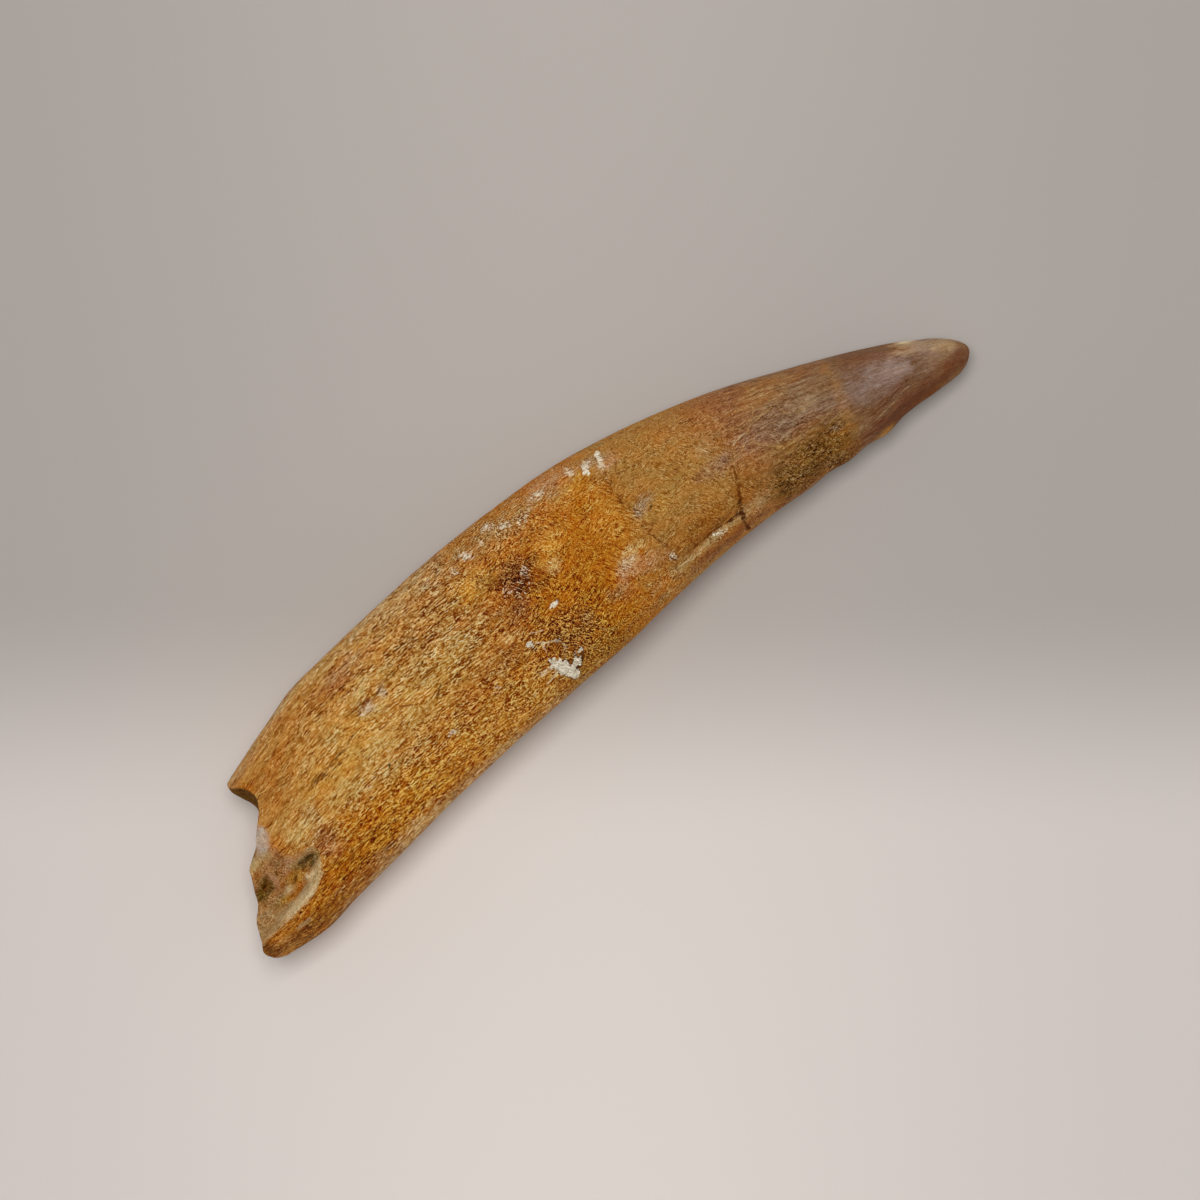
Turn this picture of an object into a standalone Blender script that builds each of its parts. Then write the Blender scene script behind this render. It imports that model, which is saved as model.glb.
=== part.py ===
"""Fossil spinosaurus tooth: a long root and a curved crown in one mineralised piece.

The tooth lies on its side. X runs from the broken end of the root to the tip of the
crown, +Y is the convex edge and +Z is up. The origin is under the middle of its box.
The tables are in millimetres and the finished mesh is in metres.
"""
import math

import bmesh
import bpy
import numpy as np
from mathutils import Vector, noise

MM = 0.001

# Driving dimensions.
ROOT_END = -60.0
TIP = 60.0
TIP_ROUND = 3.4             # length of the blunt rounded tip
SKEW_END = -28.0            # past this the rings stand square to X
FLAT_DEPTH = 0.35           # how much of the underside is worn flat
SQUARENESS = 2.15           # 2 is a true oval section
NECK_START = -14.0          # the root turns into the crown between these two
NECK_END = 4.0

# The convex edge and the concave edge seen from above, as (x, y).
CONVEX_EDGE = [
    (-60.0, 4.6), (-55.0, 6.9), (-50.0, 8.6), (-45.0, 10.1), (-40.0, 11.45), (-36.5, 12.45),
    (-30.0, 13.05), (-20.0, 13.5), (-8.0, 13.7), (0.0, 13.35), (10.0, 12.35), (20.0, 10.05),
    (30.0, 6.85), (40.0, 2.55), (50.0, -2.3), (53.0, -3.95), (56.0, -5.95), (60.0, -8.5),
]
CONCAVE_EDGE = [
    (-60.0, -13.0), (-57.0, -13.45), (-52.5, -14.0), (-46.0, -13.4), (-38.0, -12.85),
    (-30.0, -12.05), (-20.0, -11.6), (-5.0, -11.3), (2.0, -11.2), (9.0, -10.7), (20.0, -10.45),
    (28.0, -10.8), (32.5, -11.25), (36.2, -11.35), (38.2, -11.8), (42.0, -11.9), (44.6, -12.4),
    (47.6, -12.05), (53.0, -12.4), (57.0, -12.6), (60.0, -12.5),
]
# Half of the thickness, and the height of the lowest line of the underside, along x.
HALF_THICKNESS = [
    (-60.0, 7.0), (-50.0, 8.4), (-35.0, 9.4), (-15.0, 9.75), (5.0, 9.35), (20.0, 8.3),
    (35.0, 6.7), (45.0, 5.3), (52.0, 4.3), (57.0, 3.3), (60.0, 2.6),
]
UNDERSIDE = [
    (-60.0, 0.6), (-52.0, -0.1), (-45.0, -FLAT_DEPTH), (20.0, -FLAT_DEPTH), (34.0, 0.1),
    (45.0, 0.8), (60.0, 2.0),
]

# The broken end seen from above, as (y, x): the foot, the long slant, the notch, the corner.
BREAK_LINE = [
    (-14.0, -55.0), (-13.3, -58.0), (-12.8, -59.1), (-12.0, -59.8), (-11.0, -60.0),
    (-10.0, -59.4), (-8.7, -59.0), (-7.1, -58.05), (-6.2, -57.0), (-4.3, -56.0), (-2.7, -55.1),
    (-1.5, -54.4), (-0.8, -53.2), (0.0, -51.8), (0.9, -51.0), (1.9, -49.95), (3.0, -49.15),
    (4.3, -48.95), (6.0, -49.5), (7.6, -49.95), (8.6, -49.7), (10.0, -48.5),
]
BREAK_CENTRE = (-5.6, 4.2)  # (y, z) of the middle of the broken face
BREAK_STEEPNESS = 1.6       # over 1 makes the face fall away sharply under its rim
NOTCH_LEAN = 1.8            # how far the face of the notch leans back towards its top
UNDER_LEAN = 1.6            # and how far the face leans back towards the underside
UNDER_WAVE = 1.2
CORE_DEPTH = 0.9            # the filling lies this far inside the ring of the wall
BREAK_ROUGHNESS = 0.8
BREAK_LUMP_SIZE = 2.6

# Where the upper wall of the root has broken away and its filling shows, as (x, y).
LOST_WALL = [
    (-49.9, 2.1), (-49.1, 0.9), (-49.9, -1.0), (-49.9, -2.6), (-48.7, -4.0), (-46.3, -4.4),
    (-45.8, -5.6), (-46.6, -7.2), (-48.2, -8.7), (-50.5, -9.6), (-55.0, -9.95),
    (-59.6, -10.2), (-66.0, -10.2), (-66.0, 2.1),
]
WALL_THICKNESS = 1.9
WALL_SLOPE = 1.8            # width of the broken edge of the wall, as seen from above
WORN_SLOPE = 3.8            # and beside the notch, where it is worn down
FILLING_START = -45.8
FILLING_FALL = 0.36         # how fast the filling drops towards the broken end
FILLING_DEEPEST = 4.8
# Lumps (+) and hollows (-) of the filling, as (x, y, radius, height).
FILLING_LUMPS = [
    (-50.9, 0.3, 1.5, 1.3), (-52.3, -2.8, 1.7, 1.2), (-49.4, -4.7, 1.2, 0.9),
    (-52.6, -5.8, 1.4, 1.0), (-54.9, -4.9, 1.3, -1.6), (-47.6, -5.6, 1.1, -1.0),
    (-50.6, -6.6, 1.0, -0.5), (-49.3, -7.4, 0.9, 0.5), (-56.3, -7.6, 1.6, 0.9),
]

# Wear all over, as (height, size of its lumps, how much longer they are along x).
ROOT_WEAR = (0.55, 3.0, 6.0)
CROWN_WEAR = (0.25, 3.6, 3.0)
EDGE_WEAR = 0.2             # the share of the wear that reaches the two edges

# Ridges, furrows and steps of the upper side, along routes of (x, y).
CARINA_START = 10.0
CARINA_HEIGHT = 0.3
CARINA_WIDTH = 0.09         # as a share of the turn round the section
FURROW_WIDTH = 0.8
LEDGE_ROUTE = [(11.0, -7.9), (17.0, -7.7), (23.6, -7.9)]
LEDGE_DEPTH = 0.35
CRACK_ROUTE = [(22.9, -10.2), (23.6, -8.3), (24.5, -6.3), (25.5, -4.9), (26.1, -2.9)]
CRACK_DEPTH = 0.45
ENAMEL_EDGE = [(41.0, -10.2), (45.0, -9.9), (50.0, -9.6), (53.0, -9.9), (58.0, -10.0)]
ENAMEL_THICKNESS = 0.25
# Pits (-) and crusts (+) of the upper side, as (x, y, length, width, height).
SKIN_MARKS = [
    (-4.4, 3.9, 3.2, 2.2, -0.45), (-1.6, 4.6, 2.0, 1.3, -0.3), (-29.6, 4.9, 1.9, 1.0, -0.35),
    (-34.4, 7.4, 1.8, 0.9, -0.25), (-6.6, -7.6, 1.7, 2.0, 0.45), (-5.0, -8.5, 2.0, 1.0, 0.35),
    (-8.1, -3.1, 1.1, 1.1, 0.3), (11.7, 9.3, 1.2, 1.1, 0.3), (13.9, 8.8, 1.0, 1.9, 0.3),
    (34.0, -7.6, 4.0, 2.6, -0.3), (39.5, -8.4, 2.6, 2.0, -0.25), (37.0, -10.7, 1.4, 1.0, -0.35),
]

# Mesh fineness: rings of the broken face, rings of the body, and points round each ring.
FACE_RINGS = 6
BODY_RINGS = 72
AROUND = 64
# The share of the body's rings that lies before each x, up to where the tip rounds off.
RING_SPREAD = [
    (0.0, ROOT_END), (0.24, -45.0), (0.44, -10.0), (0.83, 46.0), (0.93, TIP - TIP_ROUND),
]
RIM_STEPS = 40              # rounds of halving that settle the rim of the break
SHARP_ANGLE = math.radians(50.0)

FOSSIL_COLOUR = (0.42, 0.25, 0.11, 1.0)
FOSSIL_ROUGHNESS = 0.6


def clear_scene():
    for old in list(bpy.data.objects):
        bpy.data.objects.remove(old, do_unlink=True)


def smooth_step(low, high, value):
    share = np.clip((value - low) / (high - low), 0.0, 1.0)
    return share * share * (3.0 - 2.0 * share)


def curve_through(stations, at):
    """Read a smooth curve through the stations, given as (position, value)."""
    position, value = np.array(stations).T
    slope = np.gradient(value, position)
    at = np.clip(at, position[0], position[-1])
    i = np.clip(np.searchsorted(position, at) - 1, 0, len(position) - 2)
    span = position[i + 1] - position[i]
    t = (at - position[i]) / span
    rise = value[i + 1] - value[i]
    start = span * slope[i] - rise
    finish = rise - span * slope[i + 1]
    return value[i] + t * rise + t * (1.0 - t) * ((1.0 - t) * start + t * finish)


def route_distance(route, x, y):
    """Distance from each point to a route of straight runs, seen from above."""
    nearest = np.full_like(x, np.inf)
    for (x0, y0), (x1, y1) in zip(route, route[1:]):
        run_x = x1 - x0
        run_y = y1 - y0
        t = ((x - x0) * run_x + (y - y0) * run_y) / (run_x ** 2 + run_y ** 2)
        t = np.clip(t, 0.0, 1.0)
        nearest = np.minimum(nearest, np.hypot(x - x0 - t * run_x, y - y0 - t * run_y))
    return nearest


def depth_inside(outline, x, y):
    """Distance in from an outline's edge: positive inside and negative outside."""
    closed = outline + outline[:1]
    inside = np.zeros(x.shape, dtype=bool)
    for (x0, y0), (x1, y1) in zip(closed, closed[1:]):
        if y0 != y1:
            crosses = (y0 > y) != (y1 > y)
            inside ^= crosses & (x < x0 + (y - y0) * (x1 - x0) / (y1 - y0))
    return np.where(inside, 1.0, -1.0) * route_distance(closed, x, y)


def bump(away):
    """A smooth bump: 1 in its middle, and near 0 where away is over 2."""
    return np.exp(-away ** 2)


def rough(x, y, z, size, seed):
    """Smooth seeded noise from -1 to 1 with lumps of about the given size."""
    offset = Vector((seed * 17.3, seed * 5.9, seed * 11.1))
    points = zip(x / size, y / size, z / size)
    return np.array([noise.noise(Vector(point) + offset) for point in points])


def oval(angle, power):
    """A unit oval, a little squarer than a true one where the power is over 2."""
    side = np.cos(angle)
    height = np.sin(angle)
    return (np.sign(side) * np.abs(side) ** (2.0 / power),
            np.sign(height) * np.abs(height) ** (2.0 / power))


def plain_skin(x, angle, closing):
    """A point of the unworn tooth at x: closing shrinks the section at the tip."""
    convex = curve_through(CONVEX_EDGE, x)
    concave = curve_through(CONCAVE_EDGE, x)
    thick = curve_through(HALF_THICKNESS, x)
    middle = curve_through(UNDERSIDE, x) + thick
    side, height = oval(angle, SQUARENESS)
    y = (convex + concave) / 2.0 + closing * side * (convex - concave) / 2.0
    z = middle + closing * height * thick
    return y, z


def filling_drop(x, y):
    """How far the filling lies below the skin where the wall is lost."""
    inward = depth_inside(LOST_WALL, x, y)
    drop = WALL_THICKNESS + FILLING_FALL * np.maximum(FILLING_START - x, 0.0)
    drop = np.minimum(drop, FILLING_DEEPEST)
    for lump_x, lump_y, radius, height in FILLING_LUMPS:
        drop = drop - height * bump(np.hypot(x - lump_x, y - lump_y) / radius)
    beside_notch = smooth_step(-4.0, 0.5, y)
    slope = WALL_SLOPE + (WORN_SLOPE - WALL_SLOPE) * beside_notch
    return drop * smooth_step(0.0, 1.0, inward / slope)


def worn_relief(x, y, z, from_edge):
    """The soft unevenness of the whole skin: long on the root, shorter on the crown."""
    on_root = 1.0 - smooth_step(NECK_START, NECK_END, x)
    relief = 0.0
    for share, wear, seed in ((on_root, ROOT_WEAR, 1), (1.0 - on_root, CROWN_WEAR, 2)):
        height, size, stretch = wear
        relief = relief + height * share * rough(x / stretch, y, z, size, seed)
    return relief * (EDGE_WEAR + (1.0 - EDGE_WEAR) * smooth_step(0.0, 0.45, from_edge))


def carina_relief(x, from_edge):
    """The keel along both edges of the crown: the flanks lie lower than it."""
    on_crown = smooth_step(CARINA_START, CARINA_START + 10.0, x)
    on_crown = on_crown * (1.0 - smooth_step(TIP - 6.0, TIP - 1.0, x))
    return CARINA_HEIGHT * on_crown * (bump(from_edge / CARINA_WIDTH) - 1.0)


def upper_relief(x, y):
    """Furrows, the lost enamel, pits and crusts of the upper side."""
    relief = -LEDGE_DEPTH * bump(route_distance(LEDGE_ROUTE, x, y) / FURROW_WIDTH)
    relief = relief - CRACK_DEPTH * bump(route_distance(CRACK_ROUTE, x, y) / FURROW_WIDTH)
    below_edge = np.interp(x, *np.array(ENAMEL_EDGE).T) - y
    lost = smooth_step(0.0, FURROW_WIDTH, below_edge) * smooth_step(40.0, 43.0, x)
    lost = lost * (1.0 - smooth_step(TIP - 3.0, TIP - 1.0, x))
    relief = relief - ENAMEL_THICKNESS * lost
    for mark_x, mark_y, length, width, height in SKIN_MARKS:
        relief = relief + height * bump(np.hypot((x - mark_x) / length, (y - mark_y) / width))
    return relief


def skin(x, angle, closing):
    """The worn outer surface: section, relief, lost wall and flat underside."""
    y, z = plain_skin(x, angle, closing)
    from_edge = np.minimum(np.abs(np.sin(angle / 2.0)), np.abs(np.cos(angle / 2.0)))
    on_top = smooth_step(0.0, 0.35, np.sin(angle))
    relief = worn_relief(x, y, z, from_edge) + carina_relief(x, from_edge)
    relief = closing * (relief + on_top * upper_relief(x, y))
    side, height = oval(angle, 2.0)
    drop = np.where(np.sin(angle) > 0.0, filling_drop(x, y), 0.0)
    return y + relief * side, np.maximum(z + relief * height - drop, 0.0)


def break_setback(y, angle, reach):
    """How far the broken face lies behind its outline seen from above."""
    upward = smooth_step(0.15, 0.95, np.sin(angle)) * reach
    in_notch = smooth_step(1.6, 4.4, y) * (1.0 - smooth_step(7.0, 10.0, y))
    downward = smooth_step(0.1, 0.9, -np.sin(angle)) * reach
    under = UNDER_LEAN + UNDER_WAVE * np.sin(0.9 * y + 0.6)
    in_core = (1.0 - smooth_step(0.5, 0.82, reach)) * (1.0 - smooth_step(-2.0, 2.0, y))
    lumps = rough(y, 6.0 * np.sin(angle) * reach, 0.0 * y, BREAK_LUMP_SIZE, seed=3)
    lumps = BREAK_ROUGHNESS * np.maximum(lumps, 0.0) * (1.0 - reach)
    return NOTCH_LEAN * upward * in_notch + under * downward + CORE_DEPTH * in_core + lumps


def rim_of_break(angle):
    """Find x where the skin meets the broken face, for each angle."""
    x = np.full_like(angle, (ROOT_END + FILLING_START) / 2.0)
    for _ in range(RIM_STEPS):
        y, _ = skin(x, angle, 1.0)
        found = curve_through(BREAK_LINE, y) + break_setback(y, angle, 1.0)
        x = (x + found) / 2.0
    return x


def face_point(rim, angle, reach):
    """A point of the broken face, from its middle (reach 0) out to its rim (reach 1)."""
    _, rim_y, rim_z = rim
    y = BREAK_CENTRE[0] + reach * (rim_y - BREAK_CENTRE[0])
    z = BREAK_CENTRE[1] + reach ** BREAK_STEEPNESS * (rim_z - BREAK_CENTRE[1])
    x = curve_through(BREAK_LINE, y) + break_setback(y, angle, reach)
    return x, y, z


def body_point(rim_x, angle, share):
    """A point of the skin, from the rim of the break (share 0) to the tip (share 1)."""
    round_from = RING_SPREAD[-1][0]
    rounding = np.clip((share - round_from) / (1.0 - round_from), 0.0, 1.0) * math.pi / 2.0
    x = np.interp(share, *np.array(RING_SPREAD).T) + TIP_ROUND * np.sin(rounding)
    skew = np.clip((SKEW_END - x) / (SKEW_END - ROOT_END), 0.0, 1.0)
    x = x + skew * (rim_x - ROOT_END)
    y, z = skin(x, angle, np.cos(rounding))
    return x, y, z


def tooth_point(ring, angle):
    """Place the point of a ring: the first rings are the broken face."""
    angles, which = np.unique(angle, return_inverse=True)
    rim_x = rim_of_break(angles)
    rim_y, rim_z = skin(rim_x, angles, 1.0)
    rim = (rim_x[which], rim_y[which], rim_z[which])
    on_face = face_point(rim, angle, np.clip(ring / FACE_RINGS, 0.0, 1.0))
    on_body = body_point(rim[0], angle, np.clip((ring - FACE_RINGS) / BODY_RINGS, 0.0, 1.0))
    return np.where(ring < FACE_RINGS, on_face, on_body)


def fossil_material():
    material = bpy.data.materials.new("fossil_dentine")
    material.use_nodes = True
    shader = material.node_tree.nodes["Principled BSDF"]
    shader.inputs["Base Color"].default_value = FOSSIL_COLOUR
    shader.inputs["Roughness"].default_value = FOSSIL_ROUGHNESS
    shader.inputs["Metallic"].default_value = 0.0
    return material


def build_tooth(collection):
    """Draw a sphere's net of rings out into the tooth, from the break to the tip."""
    rings = FACE_RINGS + BODY_RINGS
    net = bmesh.new()
    bmesh.ops.create_uvsphere(net, u_segments=AROUND, v_segments=rings, radius=1.0)
    start = np.array([vertex.co[:] for vertex in net.verts])
    ring = np.rint(np.arccos(np.clip(start[:, 2], -1.0, 1.0)) / math.pi * rings)
    step = np.rint(np.arctan2(-start[:, 1], start[:, 0]) * AROUND / math.tau)
    placed = tooth_point(ring, step * math.tau / AROUND).T
    middle = (placed.min(axis=0) + placed.max(axis=0)) / 2.0
    middle[2] = 0.0
    for vertex, point in zip(net.verts, placed - middle):
        vertex.co = point * MM
    mesh = bpy.data.meshes.new("fossil_tooth")
    net.to_mesh(mesh)
    net.free()
    mesh.shade_smooth()
    mesh.set_sharp_from_angle(angle=SHARP_ANGLE)
    mesh.materials.append(fossil_material())
    tooth = bpy.data.objects.new("fossil_tooth", mesh)
    collection.objects.link(tooth)
    return tooth


def main():
    clear_scene()
    collection = bpy.data.collections.new("Fossil spinosaurus tooth")
    bpy.context.scene.collection.children.link(collection)
    build_tooth(collection)


if __name__ == "__main__":
    main()
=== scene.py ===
import math

import bmesh
import bpy
import numpy as np
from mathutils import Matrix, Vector, noise


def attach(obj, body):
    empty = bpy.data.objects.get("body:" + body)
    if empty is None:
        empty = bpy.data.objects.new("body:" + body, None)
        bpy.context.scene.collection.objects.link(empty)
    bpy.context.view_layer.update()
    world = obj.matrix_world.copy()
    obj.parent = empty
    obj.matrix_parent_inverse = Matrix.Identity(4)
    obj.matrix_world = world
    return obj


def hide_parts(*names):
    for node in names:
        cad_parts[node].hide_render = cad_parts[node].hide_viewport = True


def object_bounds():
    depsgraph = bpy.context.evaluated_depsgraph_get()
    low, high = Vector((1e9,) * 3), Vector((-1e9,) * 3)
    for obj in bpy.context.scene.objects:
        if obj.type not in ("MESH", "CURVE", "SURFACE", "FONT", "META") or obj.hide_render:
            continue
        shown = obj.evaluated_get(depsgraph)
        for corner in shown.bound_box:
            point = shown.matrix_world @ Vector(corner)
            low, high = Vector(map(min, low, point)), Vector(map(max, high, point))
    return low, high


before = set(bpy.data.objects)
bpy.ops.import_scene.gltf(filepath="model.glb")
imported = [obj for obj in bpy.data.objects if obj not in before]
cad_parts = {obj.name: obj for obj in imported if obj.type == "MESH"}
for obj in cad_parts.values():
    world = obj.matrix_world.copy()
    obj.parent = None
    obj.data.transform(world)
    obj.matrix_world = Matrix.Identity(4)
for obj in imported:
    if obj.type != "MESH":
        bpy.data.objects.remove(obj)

cad_low, cad_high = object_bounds()
MM = 0.001

# ----------------------------------------------------------------------------------------
# The tooth: a long bony root that turns at the neck into a fluted, enamelled crown, all of
# it one mineralised piece. It grew round a pulp cavity that filled with sandstone, and the
# root snapped off across its far end. Everything below is in millimetres, with X from the
# broken end to the tip, +Y the convex edge and +Z up, as the solid has it.

ROOT_END = -60.0
TIP = 60.0
TIP_ROUND = 3.4
SKEW_END = -28.0
FLAT_DEPTH = 0.35
SQUARENESS = 2.15
NECK_START = -14.0
NECK_END = 4.0

CONVEX_EDGE = [
    (-60, 4.6), (-55, 6.9), (-50, 8.6), (-45, 10.1), (-40, 11.45), (-36.5, 12.45),
    (-30, 13.05), (-20, 13.5), (-8, 13.7), (0, 13.35), (10, 12.35), (20, 10.05),
    (30, 6.85), (40, 2.55), (50, -2.3), (53, -3.95), (56, -5.95), (60, -8.5),
]
CONCAVE_EDGE = [
    (-60, -13), (-57, -13.45), (-52.5, -14), (-46, -13.4), (-38, -12.85),
    (-30, -12.05), (-20, -11.6), (-5, -11.3), (2, -11.2), (9, -10.7), (20, -10.45),
    (28, -10.8), (32.5, -11.25), (36.2, -11.35), (38.2, -11.8), (42, -11.9), (44.6, -12.4),
    (47.6, -12.05), (53, -12.4), (57, -12.6), (60, -12.5),
]
HALF_THICKNESS = [
    (-60, 7), (-50, 8.4), (-35, 9.4), (-15, 9.75), (5, 9.35), (20, 8.3),
    (35, 6.7), (45, 5.3), (52, 4.3), (57, 3.3), (60, 2.6),
]
UNDERSIDE = [
    (-60, 0.6), (-52, -0.1), (-45, -FLAT_DEPTH), (20, -FLAT_DEPTH), (34, 0.1),
    (45, 0.8), (60, 2),
]

# The broken end seen from above, as (y, x), and how its face falls away under its rim.
BREAK_LINE = [
    (-14, -55), (-13.3, -58), (-12.8, -59.1), (-12, -59.8), (-11, -60),
    (-10, -59.4), (-8.7, -59), (-7.1, -58.05), (-6.2, -57), (-4.3, -56), (-2.7, -55.1),
    (-1.5, -54.4), (-0.8, -53.2), (0, -51.8), (0.9, -51), (1.9, -49.95), (3, -49.15),
    (4.3, -48.95), (6, -49.5), (7.6, -49.95), (8.6, -49.7), (10, -48.5),
]
BREAK_CENTRE = (-5.6, 4.2)
BREAK_STEEPNESS = 1.6
NOTCH_DEEPENS = (1.4, 7.2)
NOTCH_ENDS = (7.6, 8.8)
NOTCH_LEAN = 2.5
UNDER_LEAN = 1.6
UNDER_WAVE = 1.2
CORE_DEPTH = 0.9
BREAK_ROUGHNESS = 0.8
BREAK_LUMP_SIZE = 2.6

# Where the upper wall of the root has broken away and its filling shows, as (x, y).
LOST_WALL = [
    (-49.9, 2.1), (-49.1, 0.9), (-49.9, -1), (-49.9, -2.6), (-48.7, -4), (-46.3, -4.4),
    (-45.8, -5.6), (-46.6, -7.2), (-48.2, -8.7), (-50.5, -9.6), (-55, -9.95),
    (-59.6, -10.2), (-66, -10.2), (-66, 2.1),
]
WALL_THICKNESS = 1.9
WALL_SLOPE = 1.8
WORN_SLOPE = 3.8
FILLING_START = -45.8
FILLING_FALL = 0.36
FILLING_DEEPEST = 4.8
# Lumps (+) and hollows (-) of the filling, as (x, y, radius, height).
FILLING_LUMPS = [
    (-50.9, 0.3, 1.5, 1.3), (-52.3, -2.8, 1.7, 1.2), (-49.4, -4.7, 1.2, 0.9),
    (-52.6, -5.8, 1.4, 1), (-54.9, -4.9, 1.3, -1.6), (-47.6, -5.6, 1.1, -1),
    (-50.6, -6.6, 1, -0.5), (-49.3, -7.4, 0.9, 0.5), (-56.3, -7.6, 1.6, 0.9),
]

# Soft wear of the root and of the crown, as (height, lump size, stretch along x).
ROOT_WEAR = (0.55, 3.0, 6.0)
CROWN_WEAR = (0.25, 3.6, 3.0)
EDGE_WEAR = 0.2

CARINA_START = 10.0
CARINA_HEIGHT = 0.3
CARINA_WIDTH = 0.09
FURROW_WIDTH = 0.8
LEDGE_ROUTE = [(11, -7.9), (17, -7.7), (23.6, -7.9)]
LEDGE_DEPTH = 0.35
CRACK_ROUTE = [(22.9, -10.2), (23.6, -8.3), (24.5, -6.3), (25.5, -4.9), (26.1, -2.9)]
CRACK_DEPTH = 0.45
ENAMEL_EDGE = [(41, -10.2), (45, -9.9), (50, -9.6), (53, -9.9), (58, -10)]
ENAMEL_THICKNESS = 0.25
BARE_START = (40.0, 43.0)
# Pits (-) and crusts (+) of the upper side, as (x, y, length, width, height).
SKIN_MARKS = [
    (-4.4, 3.9, 3.2, 2.2, -0.45), (-1.6, 4.6, 2, 1.3, -0.3), (-29.6, 4.9, 1.9, 1, -0.35),
    (-34.4, 7.4, 1.8, 0.9, -0.25), (-6.6, -7.6, 1.7, 2, 0.45), (-5, -8.5, 2, 1, 0.35),
    (-8.1, -3.1, 1.1, 1.1, 0.3), (11.7, 9.3, 1.2, 1.1, 0.3), (13.9, 8.8, 1, 1.9, 0.3),
    (34, -7.6, 4, 2.6, -0.3), (39.5, -8.4, 2.6, 2, -0.25), (37, -10.7, 1.4, 1, -0.35),
]

# The net is finer than the solid's, and finer above than below.
FACE_RINGS = 36
BODY_RINGS = 312
AROUND = 268
UPPER_SHARE = 0.25
RING_SPREAD = [
    (0.0, ROOT_END), (0.2, -45.0), (0.46, -10.0), (0.86, 46.0), (0.94, TIP - TIP_ROUND),
]
RIM_STEPS = 40


def smooth_step(low, high, value):
    share = np.clip((value - low) / (high - low), 0.0, 1.0)
    return share * share * (3.0 - 2.0 * share)


def curve_through(stations, at):
    """Read a smooth curve through the stations, given as (position, value)."""
    position, value = np.array(stations).T
    slope = np.gradient(value, position)
    at = np.clip(at, position[0], position[-1])
    i = np.clip(np.searchsorted(position, at) - 1, 0, len(position) - 2)
    span = position[i + 1] - position[i]
    t = (at - position[i]) / span
    rise = value[i + 1] - value[i]
    start = span * slope[i] - rise
    finish = rise - span * slope[i + 1]
    return value[i] + t * rise + t * (1.0 - t) * ((1.0 - t) * start + t * finish)


def route_offset(route, x, y):
    """Distance from each point to a route of straight runs: positive on the route's left."""
    nearest = np.full_like(x, np.inf)
    for (x0, y0), (x1, y1) in zip(route, route[1:]):
        run_x = x1 - x0
        run_y = y1 - y0
        t = ((x - x0) * run_x + (y - y0) * run_y) / (run_x ** 2 + run_y ** 2)
        t = np.clip(t, 0.0, 1.0)
        away = np.hypot(x - x0 - t * run_x, y - y0 - t * run_y)
        away = np.where(run_x * (y - y0) > run_y * (x - x0), away, -away)
        nearest = np.where(np.abs(away) < np.abs(nearest), away, nearest)
    return nearest


def route_distance(route, x, y):
    """Distance from each point to a route, seen from above."""
    return np.abs(route_offset(route, x, y))


def depth_inside(outline, x, y):
    """Distance in from an outline's edge: positive inside and negative outside."""
    closed = outline + outline[:1]
    inside = np.zeros(x.shape, dtype=bool)
    for (x0, y0), (x1, y1) in zip(closed, closed[1:]):
        if y0 != y1:
            crosses = (y0 > y) != (y1 > y)
            inside ^= crosses & (x < x0 + (y - y0) * (x1 - x0) / (y1 - y0))
    return np.where(inside, 1.0, -1.0) * route_distance(closed, x, y)


def depth_in_patch(x, y, patch_x, patch_y, length, width, turn):
    """Distance in from the edge of an oval patch, turned by so many degrees."""
    turn = math.radians(turn)
    along = (x - patch_x) * math.cos(turn) + (y - patch_y) * math.sin(turn)
    across = (y - patch_y) * math.cos(turn) - (x - patch_x) * math.sin(turn)
    return (1.0 - np.hypot(along / length, across / width)) * min(length, width)


def bump(away):
    """A smooth bump: 1 in its middle, and near 0 where away is over 2."""
    return np.exp(-away ** 2)


def rough(x, y, z, size, seed):
    """Smooth seeded noise from -1 to 1 with lumps of about the given size."""
    offset = Vector((seed * 17.3, seed * 5.9, seed * 11.1))
    points = zip(x / size, y / size, z / size)
    return np.array([noise.noise(Vector(point) + offset) for point in points])


def oval(angle, power):
    """A unit oval, a little squarer than a true one where the power is over 2."""
    side = np.cos(angle)
    height = np.sin(angle)
    return (np.sign(side) * np.abs(side) ** (2.0 / power),
            np.sign(height) * np.abs(height) ** (2.0 / power))


def axis_of_tooth(x):
    """The middle line of the tooth at x, and its half width and half thickness."""
    convex = curve_through(CONVEX_EDGE, x)
    concave = curve_through(CONCAVE_EDGE, x)
    thick = curve_through(HALF_THICKNESS, x)
    middle = curve_through(UNDERSIDE, x) + thick
    return (convex + concave) / 2.0, middle, (convex - concave) / 2.0, thick


def plain_skin(x, angle, closing):
    """A point of the unworn tooth at x: closing shrinks the section at the tip."""
    axis_y, axis_z, wide, thick = axis_of_tooth(x)
    side, height = oval(angle, SQUARENESS)
    return axis_y + closing * side * wide, axis_z + closing * height * thick


def filling_drop(x, y):
    """How far the filling lies below the skin where the wall is lost."""
    inward = depth_inside(LOST_WALL, x, y)
    drop = WALL_THICKNESS + FILLING_FALL * np.maximum(FILLING_START - x, 0.0)
    drop = np.minimum(drop, FILLING_DEEPEST)
    for lump_x, lump_y, radius, height in FILLING_LUMPS:
        drop = drop - height * bump(np.hypot(x - lump_x, y - lump_y) / radius)
    beside_notch = smooth_step(-4.0, 0.5, y)
    slope = WALL_SLOPE + (WORN_SLOPE - WALL_SLOPE) * beside_notch
    return drop * smooth_step(0.0, 1.0, inward / slope)


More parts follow.
